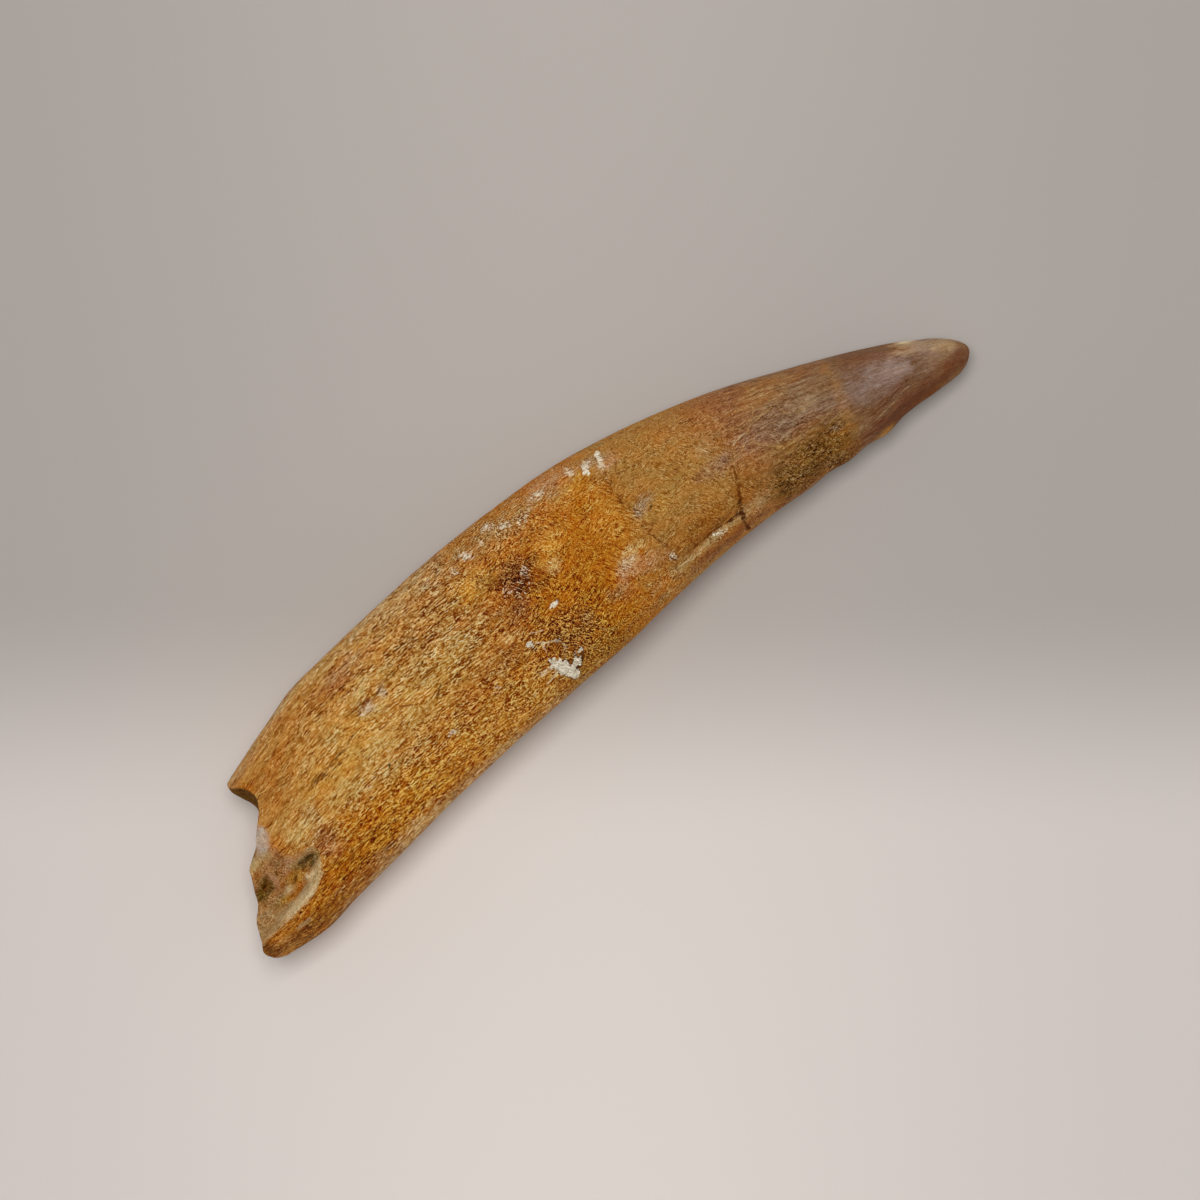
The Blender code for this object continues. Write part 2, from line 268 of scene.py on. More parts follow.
def worn_relief(x, y, z, from_edge):
    """The soft unevenness of the whole skin: long on the root, shorter on the crown."""
    on_root = 1.0 - smooth_step(NECK_START, NECK_END, x)
    relief = 0.0
    for share, wear, seed in ((on_root, ROOT_WEAR, 1), (1.0 - on_root, CROWN_WEAR, 2)):
        height, size, stretch = wear
        relief = relief + height * share * rough(x / stretch, y, z, size, seed)
    return relief * (EDGE_WEAR + (1.0 - EDGE_WEAR) * smooth_step(0.0, 0.45, from_edge))


def carina_relief(x, from_edge):
    """The keel along both edges of the crown: the flanks lie lower than it."""
    on_crown = smooth_step(CARINA_START, CARINA_START + 10.0, x)
    on_crown = on_crown * (1.0 - smooth_step(TIP - 6.0, TIP - 1.0, x))
    return CARINA_HEIGHT * on_crown * (bump(from_edge / CARINA_WIDTH) - 1.0)


def upper_relief(x, y):
    """Furrows, the lost enamel, pits and crusts of the upper side."""
    relief = -LEDGE_DEPTH * bump(route_distance(LEDGE_ROUTE, x, y) / FURROW_WIDTH)
    relief = relief - CRACK_DEPTH * bump(route_distance(CRACK_ROUTE, x, y) / FURROW_WIDTH)
    below_edge = np.interp(x, *np.array(ENAMEL_EDGE).T) - y
    lost = smooth_step(0.0, FURROW_WIDTH, below_edge) * smooth_step(*BARE_START, x)
    lost = lost * (1.0 - smooth_step(TIP - 3.0, TIP - 1.0, x))
    relief = relief - ENAMEL_THICKNESS * lost
    for mark_x, mark_y, length, width, height in SKIN_MARKS:
        relief = relief + height * bump(np.hypot((x - mark_x) / length, (y - mark_y) / width))
    return relief


# Fine relief that only the finished surface has: grooves between the root's fibres, the
# flutes of the crown, the grain of the neck, the pitted and the crusted places.
GROOVE_DEPTH = 0.12
GROOVES_END = (-10.0, -2.0)
FLUTES = 46
FLUTE_HEIGHT = 0.07
FLUTES_START = (25.0, 31.0)
FLUTES_FADE = (41.0, 46.0)
FLUTES_END = (53.0, 57.0)
GRAIN_HEIGHT = 0.05
PIT_DEPTH = 0.5
STONE_ROUGHNESS = 0.32
# Rugged places, pitted like a sponge, as (x, y, length, width, turn, strength).
RUGGED = [
    (-4.3, 4, 2.9, 1.7, -12, 0.75), (-2, 5, 1.6, 0.9, -20, 0.6),
    (-29.4, 4.9, 1.1, 0.6, 10, 0.8), (34.4, -8.6, 7.4, 2.6, 2, 0.34),
    (37, -8.2, 4, 1.6, -8, 0.5), (37.6, -10.6, 3.2, 1.4, -8, 0.5),
    (31.6, -9.4, 2.6, 1.4, 0, 0.5),
    (-19.4, 7.2, 1.2, 0.6, -20, 0.5), (-5.4, -6.4, 1.8, 2.8, 0, 0.5),
    (-9.5, -1.7, 1.2, 0.7, 0, 0.5), (-11, 1.3, 1.1, 0.5, 8, 0.6),
    (-22, -7.2, 15, 3.4, 2, 0.35), (-40, -7.5, 6, 2.6, 8, 0.25),
    (13.2, -5.8, 0.6, 1.6, 0, 0.6), (16, -8.1, 5, 0.7, 0, 0.5),
]
# Chalky calcite crusts, as (x, y, length, width, turn, height).
CRUSTS = [
    (-6.9, -8.1, 0.8, 1.7, 10, 0.45), (-7.5, -7.1, 0.7, 0.6, 0, 0.35),
    (-6.2, -9.5, 0.7, 0.7, 0, 0.35), (-4.9, -8.7, 1.3, 0.45, 32, 0.3),
    (-3.8, -7.8, 0.7, 0.35, 20, 0.2), (-8, -3, 0.45, 0.6, 20, 0.2),
    (-2.6, -1.2, 0.6, 0.35, -15, 0.2), (-23, -5.1, 0.4, 0.15, -5, 0.06),
    (-9.5, 10.2, 0.2, 0.3, 20, 0.12), (-6.9, 10.7, 0.5, 0.3, -25, 0.18),
    (-2.6, 12.1, 0.35, 0.3, -20, 0.12), (-0.7, 10.5, 0.5, 0.2, -38, 0.12),
    (1.7, 9.8, 0.3, 0.35, 30, 0.12), (4.9, 10.9, 0.5, 0.3, -10, 0.12),
    (11.6, 9.3, 0.6, 0.75, -20, 0.25), (13.8, 9, 1.3, 0.3, 60, 0.2),
    (19.6, -8.1, 0.7, 0.2, -20, 0.1),
]
# Long cracks and scratches, as (depth, half width, route).
SCRATCHES = [
    (0.16, 0.3, [(-40.6, 1.4), (-37.6, 1.8), (-34.6, 2.1), (-32.4, 2.9)]),
    (0.12, 0.3, [(-29.4, 6.6), (-28.4, 7), (-27.2, 7.3)]),
    (0.12, 0.3, [(-27.6, 4.7), (-25.6, 5.2), (-22, 5.6)]),
    (0.10, 0.3, [(-23.5, 7.5), (-19.8, 7.5)]),
    (0.12, 0.3, [(-22, -0.8), (-20.2, 0.4), (-18, 0), (-15.2, 0.2)]),
    (0.18, 0.35, [(12.9, 6.8), (12.7, 5), (12.6, 3.4), (13.1, 1.6), (13.2, -1.4),
                  (12.9, -3.2), (13.5, -5.2), (13, -7.2)]),
    (0.12, 0.3, [(44.5, -9.9), (47, -9.8), (49, -9.5), (51, -9.3)]),
]


def patch_share(patches, x, y, edge):
    """The strength of the strongest patch at each point, soft over the edge's width."""
    share = np.zeros_like(x)
    for patch_x, patch_y, length, width, turn, strength in patches:
        inward = depth_in_patch(x, y, patch_x, patch_y, length, width, turn)
        share = np.maximum(share, strength * smooth_step(-edge, edge, inward))
    return share


def crust_height(x, y):
    """The height of the calcite at each point, with a crumbly edge."""
    crumbs = 0.35 * rough(x, y, 0.0 * x, 0.8, seed=9) + 0.25 * rough(x, y, 0.0 * x, 0.4, seed=10)
    height = np.zeros_like(x)
    for patch_x, patch_y, length, width, turn, rise in CRUSTS:
        inward = depth_in_patch(x, y, patch_x, patch_y, length, width, turn) + crumbs
        height = np.maximum(height, rise * smooth_step(-0.1, 0.3, inward) * (1.0 + crumbs))
    return height


def flute_wave(x, angle):
    """The crown's lengthwise ridges, from -1 between them to 1 on them, where it has any."""
    sway = 1.5 * rough(x / 12.0, 4.0 * np.cos(angle), 4.0 * np.sin(angle), 2.0, seed=7)
    strength = 0.8 + 0.8 * rough(x, 6.0 * np.cos(angle), 6.0 * np.sin(angle), 4.0, seed=8)
    strength = strength * smooth_step(*FLUTES_START, x) * (1.0 - 0.7 * smooth_step(*FLUTES_FADE, x))
    strength = strength * (1.0 - smooth_step(*FLUTES_END, x))
    return np.maximum(strength, 0.0) * np.cos(FLUTES * angle + sway)


def fine_relief(x, y, z, angle):
    """The small relief of the finished surface."""
    axis_y, axis_z, wide, thick = axis_of_tooth(x)
    across = y - axis_y
    up = z - axis_z
    on_root = 1.0 - smooth_step(*GROOVES_END, x)
    grooves = rough(x / 7.0, across, up, 1.25, seed=4)
    grooves = grooves + 0.5 * rough(x / 4.0, across, up, 0.7, seed=5)
    relief = GROOVE_DEPTH * on_root * (grooves - smooth_step(0.12, 0.0, np.abs(grooves)))
    grain = rough(x / 1.4, across, up, 0.8, seed=6)
    relief = relief + GRAIN_HEIGHT * (1.0 - 0.7 * smooth_step(*FLUTES_START, x)) * grain
    relief = relief + FLUTE_HEIGHT * flute_wave(x, angle)
    on_top = smooth_step(0.0, 0.3, np.sin(angle))
    pits = np.maximum(rough(x, y, 0.0 * x, 0.7, seed=11) + 0.1, 0.0)
    relief = relief - PIT_DEPTH * on_top * patch_share(RUGGED, x, y, 0.6) * pits
    relief = relief + on_top * crust_height(x, y)
    for depth, half_width, route in SCRATCHES:
        away = route_distance(route, x + 0.3 * grain, y + 0.2 * grooves)
        relief = relief - depth * on_top * bump(away / half_width)
    return relief


def stone_relief(x, y):
    """The lumps and grains of the sandstone filling, and the smooth broken wall beside it."""
    lumps = rough(x, y, 0.0 * x, 1.5, seed=12) + 0.6 * rough(x, y, 0.0 * x, 0.7, seed=13)
    lumps = lumps + 0.4 * rough(x, y, 0.0 * x, 0.4, seed=14)
    return STONE_ROUGHNESS * lumps * (0.25 + 0.75 * smooth_step(-8.6, -7.6, y))


def skin(x, angle, closing):
    """The worn outer surface: section, relief, lost wall and flat underside."""
    y, z = plain_skin(x, angle, closing)
    from_edge = np.minimum(np.abs(np.sin(angle / 2.0)), np.abs(np.cos(angle / 2.0)))
    on_top = smooth_step(0.0, 0.35, np.sin(angle))
    relief = worn_relief(x, y, z, from_edge) + carina_relief(x, from_edge)
    relief = relief + on_top * upper_relief(x, y)
    lost = smooth_step(0.0, 1.2, depth_inside(LOST_WALL, x, y)) * (np.sin(angle) > 0.0)
    small = (1.0 - lost) * fine_relief(x, y, z, angle) + lost * stone_relief(x, y)
    relief = closing * (relief + small * (0.35 + 0.65 * smooth_step(0.0, 0.3, from_edge)))
    side, height = oval(angle, 2.0)
    drop = np.where(np.sin(angle) > 0.0, filling_drop(x, y), 0.0)
    return y + relief * side, np.maximum(z + relief * height - drop, 0.0)


def break_setback(y, angle, reach):
    """How far the broken face lies behind its outline seen from above."""
    upward = smooth_step(0.15, 0.95, np.sin(angle)) * reach
    in_notch = smooth_step(*NOTCH_DEEPENS, y) * (1.0 - smooth_step(*NOTCH_ENDS, y))
    downward = smooth_step(0.1, 0.9, -np.sin(angle)) * reach
    under = UNDER_LEAN + UNDER_WAVE * np.sin(0.9 * y + 0.6)
    in_core = (1.0 - smooth_step(0.5, 0.82, reach)) * (1.0 - smooth_step(-2.0, 2.0, y))
    lumps = rough(y, 6.0 * np.sin(angle) * reach, 0.0 * y, BREAK_LUMP_SIZE, seed=3)
    lumps = BREAK_ROUGHNESS * np.maximum(lumps, 0.0) * (1.0 - reach)
    return NOTCH_LEAN * upward * in_notch + under * downward + CORE_DEPTH * in_core + lumps


def rim_of_break(angle):
    """Find x where the skin meets the broken face, for each angle."""
    x = np.full_like(angle, (ROOT_END + FILLING_START) / 2.0)
    for _ in range(RIM_STEPS):
        y, _ = skin(x, angle, 1.0)
        found = curve_through(BREAK_LINE, y) + break_setback(y, angle, 1.0)
        x = (x + found) / 2.0
    return x


def face_point(rim, angle, reach):
    """A point of the broken face, from its middle (reach 0) out to its rim (reach 1)."""
    _, rim_y, rim_z = rim
    y = BREAK_CENTRE[0] + reach * (rim_y - BREAK_CENTRE[0])
    z = BREAK_CENTRE[1] + reach ** BREAK_STEEPNESS * (rim_z - BREAK_CENTRE[1])
    x = curve_through(BREAK_LINE, y) + break_setback(y, angle, reach)
    return x, y, z


def body_point(rim_x, angle, share):
    """A point of the skin, from the rim of the break (share 0) to the tip (share 1)."""
    round_from = RING_SPREAD[-1][0]
    rounding = np.clip((share - round_from) / (1.0 - round_from), 0.0, 1.0) * math.pi / 2.0
    x = np.interp(share, *np.array(RING_SPREAD).T) + TIP_ROUND * np.sin(rounding)
    skew = np.clip((SKEW_END - x) / (SKEW_END - ROOT_END), 0.0, 1.0)
    x = x + skew * (rim_x - ROOT_END)
    y, z = skin(x, angle, np.cos(rounding))
    return x, y, z


def tooth_point(ring, angle):
    """Place the point of a ring: the first rings are the broken face."""
    angles, which = np.unique(angle, return_inverse=True)
    rim_x = rim_of_break(angles)
    rim_y, rim_z = skin(rim_x, angles, 1.0)
    rim = (rim_x[which], rim_y[which], rim_z[which])
    on_face = face_point(rim, angle, np.clip(ring / FACE_RINGS, 0.0, 1.0))
    on_body = body_point(rim[0], angle, np.clip((ring - FACE_RINGS) / BODY_RINGS, 0.0, 1.0))
    return np.where(ring < FACE_RINGS, on_face, on_body)


# The tooth's colours, as 8-bit red, green and blue.
PALETTE = {
    "ochre": (184, 134, 64), "gold": (198, 146, 58), "amber": (166, 98, 22),
    "rust": (164, 97, 24), "burnt": (178, 110, 16), "sienna": (168, 114, 54),
    "straw": (208, 172, 104), "cream": (224, 202, 160), "chalk": (230, 221, 200),
    "drab": (166, 132, 88), "tan": (155, 109, 52), "olive": (122, 83, 34),
    "moss": (104, 80, 26), "umber": (98, 50, 12), "bark": (72, 38, 12),
    "maroon": (126, 64, 26), "russet": (146, 95, 51), "walnut": (105, 72, 46),
    "fawn": (126, 93, 62), "lilac": (126, 101, 88), "blush": (184, 138, 102),
    "slate": (152, 138, 124), "brown": (132, 77, 20), "rose": (160, 106, 64),
    "pearl": (148, 126, 116), "sage": (178, 152, 106), "ink": (58, 48, 20),
    "bone": (194, 166, 120), "ash": (186, 170, 156), "sand": (168, 128, 76),
    "copper": (148, 84, 18), "honey": (160, 104, 42), "wine": (106, 63, 40),
}
SHEEN_LIGHT = 0.0045        # what the surface's own sheen adds to every colour

# Where each kind of surface begins or ends, as the two ends of its soft change in x or y.
FIBRES_END = (-14.0, -4.0)
WOOLLY_START = (-32.0, -18.0)
WOOLLY_EDGE = (1.5, -3.0)
SPECKLED_END = (5.0, -2.0)
SPECKLED_EDGE = (-1.0, -5.0)
ENAMEL_START = (25.5, 31.5)
PALE_WALL_EDGE = (-7.7, -8.1)
# the notch's fracture face is painted dark, partly as painted shade
NOTCH_SHADE_EDGE = (1.6, 2.2)
# The grain keeps its scale across the tooth as if it had this half width and thickness.
GRAIN_WIDE = 11.0
GRAIN_THICK = 9.0
GRAIN_STRETCH = 0.7
# The colour of the plain skin along the tooth, as (x, colour).
SKIN_TONES = [
    (-60, "sienna"), (-50, "sienna"), (-41, "ochre"), (-26, "ochre"), (-13, "sienna"),
    (-6, "amber"), (9, "amber"), (13, "tan"), (24, "tan"), (29, "russet"),
    (34, "fawn"), (41, "fawn"), (46, "walnut"), (53, "walnut"), (57, "fawn"),
    (60, "russet"),
]
# How strongly the coarse and the fine grain show along the tooth, as (x, coarse, fine).
GRAIN_CONTRAST = [
    (-60, 0.6, 0.4), (-46, 0.6, 0.5), (-38, 0.6, 0.7), (-30, 0.65, 0.85),
    (-22, 0.7, 1.25), (-9, 0.85, 1.6), (-3, 0.7, 1.35), (1, 0.7, 1.2), (5, 0.7, 0.95),
    (10, 0.8, 0.95), (14, 0.75, 0.68), (25, 0.75, 0.68), (30, 1.7, 0.6),
    (36, 2.2, 0.5), (43, 1.2, 0.3), (52, 0.9, 0.25), (60, 1.5, 0.35),
]
# Soft stains, with a painted highlight and painted sheen among them, as (x, y, length, width, turn,
# colour, strength, width of the soft edge).
STAINS_AND_PAINTED_LIGHT = [
    # the root
    (-32, -9, 28, 4.4, 1, "burnt", 0.85, 2.5),
    (-52, -12.6, 9, 2.4, 0, "brown", 0.85, 1.6),
    (-59.4, -11, 1.2, 1.6, 0, "umber", 0.8, 0.9),
    # the greyer strips along the upper rim, here and at (-42, 10.9) and (-40, 12.6), are partly the
    # rim's own colour and partly painted sheen
    (-28, 13, 17, 1.4, 1, "drab", 0.35, 1.2),
    (-42, 10.9, 8, 1.1, 13, "drab", 0.6, 0.9),
    (-37, 8.6, 9, 2.6, 5, "sienna", 0.7, 2.2),
    (-45.4, -2, 2.2, 1, 5, "straw", 0.6, 1),
    (-34, 1.6, 6, 2.2, 8, "gold", 0.3, 2),
    (-31.5, -1.2, 3.4, 1.7, 20, "straw", 0.4, 1.6),
    (-28.4, 6.8, 1.5, 0.8, 30, "straw", 0.5, 0.5),
    (-44.5, 6.2, 6, 3.4, 12, "honey", 0.8, 2),
    (-31.5, 8.8, 4.4, 1.4, 4, "honey", 0.8, 1.2),
    (-43.5, -10.4, 6.6, 2, 2, "copper", 0.85, 1.6),
    # a greyer strip along the upper rim: partly painted sheen
    (-40, 12.6, 9, 0.7, 14, "slate", 0.5, 0.8),
    (-24, -11.4, 13, 0.6, 0, "drab", 0.5, 0.7),
    (-15, -7.6, 8, 3.2, 0, "gold", 0.25, 2.4),
    (-40, -12.8, 7, 0.5, 5, "drab", 0.7, 0.5),
    (-29.2, 4.2, 0.9, 0.7, 0, "ash", 0.5, 0.5),
    (-26.4, 4.6, 0.6, 0.5, 40, "ash", 0.45, 0.4),
    (-46.4, 9.2, 3, 0.7, 20, "drab", 0.6, 0.7),
    (-8.4, 7, 3, 1.6, -10, "gold", 0.8, 1.2),
    (-15, 8.4, 3.4, 1.4, 0, "sienna", 0.7, 1.4),
    (-16, 3.5, 2.6, 0.9, 0, "straw", 0.5, 1.2),
    (-19, 1, 7, 3, 5, "gold", 0.35, 2.4),
    (-25, 2.4, 4.2, 1.8, 4, "straw", 0.3, 2),
    (-13.5, 7.4, 3.6, 1.2, 0, "gold", 0.2, 1.4),
    (-9.6, -0.8, 0.9, 0.6, 0, "straw", 0.7, 0.5),
    (-28.3, 9.8, 3.4, 1, 3, "blush", 0.3, 0.9),
    (-44.4, -5.6, 1.7, 1.9, 0, "rose", 0.7, 1.1),
    (-48.9, -2.8, 0.8, 1.7, 15, "rust", 0.75, 0.7),
    (-47.6, -8.8, 2.4, 0.9, 25, "rust", 0.6, 0.7),
    (-52, -10.5, 5, 0.7, 2, "rust", 0.5, 0.6),
    (-18, -3.8, 8, 2.6, 0, "amber", 0.5, 2.2),
    (-21, -7, 8, 1.6, -3, "gold", 0.3, 1.6),
    (-15, 12.2, 4, 0.8, -8, "straw", 0.35, 0.8),
    (-20, 6, 1.4, 3, -20, "brown", 0.2, 1.4),
    (-15.2, 9.6, 2.2, 1.6, -20, "sienna", 0.5, 1.2),
    (-48.4, 7.2, 1, 1.6, 0, "rust", 0.6, 0.9),
    (-48.6, 9, 1.6, 0.7, 25, "drab", 0.7, 0.6),
    (-40, 3.4, 5, 1.2, 3, "sienna", 0.3, 1.4),
    (-38, -1.4, 1.5, 1, 0, "straw", 0.45, 0.9),
    (-35, 3.1, 1.2, 0.9, -30, "straw", 0.5, 0.6),
    (-43.4, -1.2, 1.2, 0.8, 0, "drab", 0.5, 0.8),
    (-32, -11.4, 2.6, 0.6, 6, "straw", 0.5, 0.8),
    # between the root and the neck
    (-4.4, 3.9, 3.6, 2.4, -15, "maroon", 0.85, 1.8),
    (-4.2, 3.9, 2.3, 1.2, -10, "umber", 0.15, 1),
    (-5.6, 0.6, 1.6, 2.2, 10, "maroon", 0.45, 1.6),
    (-7, 6.4, 1.2, 0.8, -30, "umber", 0.4, 0.8),
    (-7, 1.6, 1.4, 2.2, 0, "russet", 0.5, 1.4),
    (-2.2, 5.5, 2.6, 0.8, -28, "maroon", 0.5, 0.9),
    (5.8, 2, 5.6, 5, 25, "rust", 0.85, 3),
    (1.6, 4.7, 1.9, 1, 20, "gold", 0.8, 0.9),
    (0.8, 2.5, 1, 0.6, 0, "straw", 0.7, 0.5),
    (9.6, 9, 2.4, 0.8, 10, "gold", 0.6, 0.9),
    (-1, 9, 8, 2.6, -4, "sienna", 0.4, 2),
    (-2, 11.4, 9, 1.4, -3, "tan", 0.6, 1.4),
    (-1, 10.8, 8, 1.2, -4, "sand", 0.5, 1.2),
    (7.6, 11.2, 3.2, 1, -8, "blush", 0.45, 1),
    (8.6, -3.3, 1.5, 0.9, 35, "cream", 0.4, 0.9),
    (10.9, -5.2, 2, 1.2, -10, "blush", 0.35, 0.9),
    (9.8, -2.4, 1.7, 0.5, -10, "straw", 0.8, 0.5),
    (10.3, -3.3, 0.4, 0.45, 0, "amber", 1, 0.3),
    (6.6, -4.4, 0.9, 0.6, 30, "blush", 0.6, 0.6),
    (-0.5, -5.2, 0.8, 1, 0, "sienna", 0.5, 0.6),
    (5, -5.6, 1.4, 0.9, -20, "drab", 0.4, 0.9),
    (-3.4, -6, 3.4, 4, 0, "maroon", 0.55, 2),
    (2, -6, 4, 3, 0, "brown", 0.4, 2),
    (0, -10, 5, 1.4, 2, "brown", 0.6, 1.4),
    (8.4, -9.8, 3.6, 1.2, 0, "tan", 0.5, 1.2),
    (5, -7.4, 2.4, 0.9, 0, "amber", 0.4, 0.9),
    (9.2, -6.9, 2.2, 0.9, 0, "tan", 0.6, 0.8),
    (10, 2.4, 2.6, 4, 0, "gold", 0.25, 1.6),
    # the neck
    (14.6, 8.3, 1.3, 1.1, 10, "blush", 0.55, 0.7),
    (14.2, 1, 1.3, 0.7, 25, "slate", 0.5, 0.6),
    (12.6, 9.8, 1, 0.6, 0, "slate", 0.5, 0.5),
    (15.6, -0.4, 2.6, 0.8, 5, "gold", 0.3, 1),
    (18.5, -6, 5.6, 1.2, 0, "brown", 0.75, 1.2),
    (19, -7, 4.6, 0.4, 1, "umber", 0.5, 0.5),
    (17.6, -8.1, 5.4, 0.3, 1, "sage", 0.6, 0.4),
    (21.6, -9.5, 8.6, 0.75, -1, "russet", 0.6, 0.45),
    (19.6, -9.5, 6.6, 0.55, -1, "wine", 0.8, 0.45),
    (21, -9.2, 3.4, 0.3, -1, "rust", 0.4, 0.4),
    (27.4, -8.4, 2.6, 0.6, -3, "drab", 0.5, 0.5),
    (25.9, -1.3, 2.6, 1.1, 0, "lilac", 0.5, 1),
    (25, 1.8, 1.3, 1.3, 0, "drab", 0.35, 0.9),
    (20, 8.8, 8, 1.2, -16, "tan", 0.6, 1.4),
    (26.6, -8.4, 2.6, 0.6, 0, "drab", 0.45, 0.6),
    (24, 5, 4, 2.6, -20, "sienna", 0.4, 1.8),
    (26.5, -5.5, 2, 2, 0, "brown", 0.5, 1.4),
    (27.4, 5, 4.4, 3, -20, "russet", 0.5, 1.8),
    # the crown
    (31.4, 4.6, 4.6, 1.6, -20, "maroon", 0.45, 1.3),
    (31.4, 1.4, 2.6, 1.4, 0, "maroon", 0.3, 0.9),
    (33.4, -0.7, 3.6, 0.7, -5, "maroon", 0.2, 0.8),
    (34, 2, 3, 1.4, -15, "sienna", 0.4, 1),
    (34.4, -2.8, 3.8, 1.6, -15, "lilac", 0.3, 1.6),
    (40.6, -3.8, 2.4, 1, -12, "lilac", 0.5, 1),
    (34.6, -8, 6, 3, -4, "olive", 0.9, 2.2),
    (30.4, -8.8, 2.2, 2.2, 0, "olive", 0.8, 1.6),
    (33, -10.6, 4.6, 1.2, -3, "olive", 0.7, 1),
    (38.4, -9.6, 3.4, 2.6, -12, "olive", 0.9, 1.4),
    (39.4, -6.6, 1.6, 0.8, -10, "olive", 0.6, 0.9),
    (31.2, -6.7, 1.8, 0.5, -8, "bark", 0.4, 0.7),
    (34.6, -9.6, 2.2, 0.9, 0, "bark", 0.45, 1),
    (37.6, -10.9, 1.5, 0.8, -25, "bark", 0.5, 0.7),
    (30, -9.2, 0.9, 0.9, 0, "bark", 0.55, 0.7),
    (37, -7.6, 1.6, 0.6, 0, "bark", 0.4, 0.8),
    (33.4, -7.9, 1, 0.5, 0, "honey", 0.4, 0.6),
    (39.6, -8, 1.2, 0.6, -20, "honey", 0.6, 0.7),
    (39.8, -11, 1.7, 0.5, -6, "honey", 0.5, 0.6),
    (30, -10.9, 5.6, 0.6, -3, "maroon", 0.4, 0.6),
    (42.5, -6, 0.7, 1.4, -25, "tan", 0.6, 0.8),
    (43.3, -3.8, 0.7, 1.2, -20, "tan", 0.6, 0.7),
    (43.9, -0.6, 0.5, 0.7, 0, "tan", 0.5, 0.7),
    # painted highlight: the lilac-grey zone is partly the crown's own colour and partly a painted
    # glossy highlight, and the pearl patch at (50.6, -6.8) is a painted highlight
    (48, -6.1, 4.8, 2.2, -14, "lilac", 0.9, 1.6),
    (50.6, -6.8, 2.2, 0.8, -35, "pearl", 0.8, 1),
    (49, -3.2, 3.4, 0.8, -28, "maroon", 0.25, 0.9),
    (54, -5.6, 2.2, 1, -35, "drab", 0.7, 0.6),
    (54.1, -4.8, 0.9, 0.3, -38, "cream", 0.8, 0.3),
    (55.6, -7.4, 2.6, 1.6, -40, "pearl", 0.4, 1.2),
    (57.6, -8.6, 1.8, 0.8, -45, "bone", 0.4, 0.7),
    (57.4, -11, 2.9, 1.1, 4, "wine", 0.85, 0.7),
    (48.4, -11.2, 7.6, 1.2, 0, "wine", 0.9, 0.7),
    (47.6, -11.4, 6.6, 0.8, 0, "bark", 0.45, 0.7),
    (55, -11.6, 3.6, 0.8, 2, "umber", 0.5, 0.8),
    (48.4, -8.9, 3.6, 0.5, 4, "umber", 0.5, 0.5),
    (44.4, -12.1, 1.1, 0.35, 0, "tan", 0.8, 0.4),
    (36.2, 2.8, 2.6, 0.8, -18, "tan", 0.5, 0.9),
    (39, -2.6, 1.6, 0.7, -12, "drab", 0.35, 0.9),
    (33, -5, 2.4, 0.7, -12, "tan", 0.4, 0.9),
    (42, 0.6, 2.2, 0.6, -22, "maroon", 0.3, 0.9),
    (37.4, -4.6, 2.4, 0.7, -14, "maroon", 0.3, 0.9),
    (38, 2.4, 4.4, 0.8, -22, "brown", 0.4, 0.9),
]
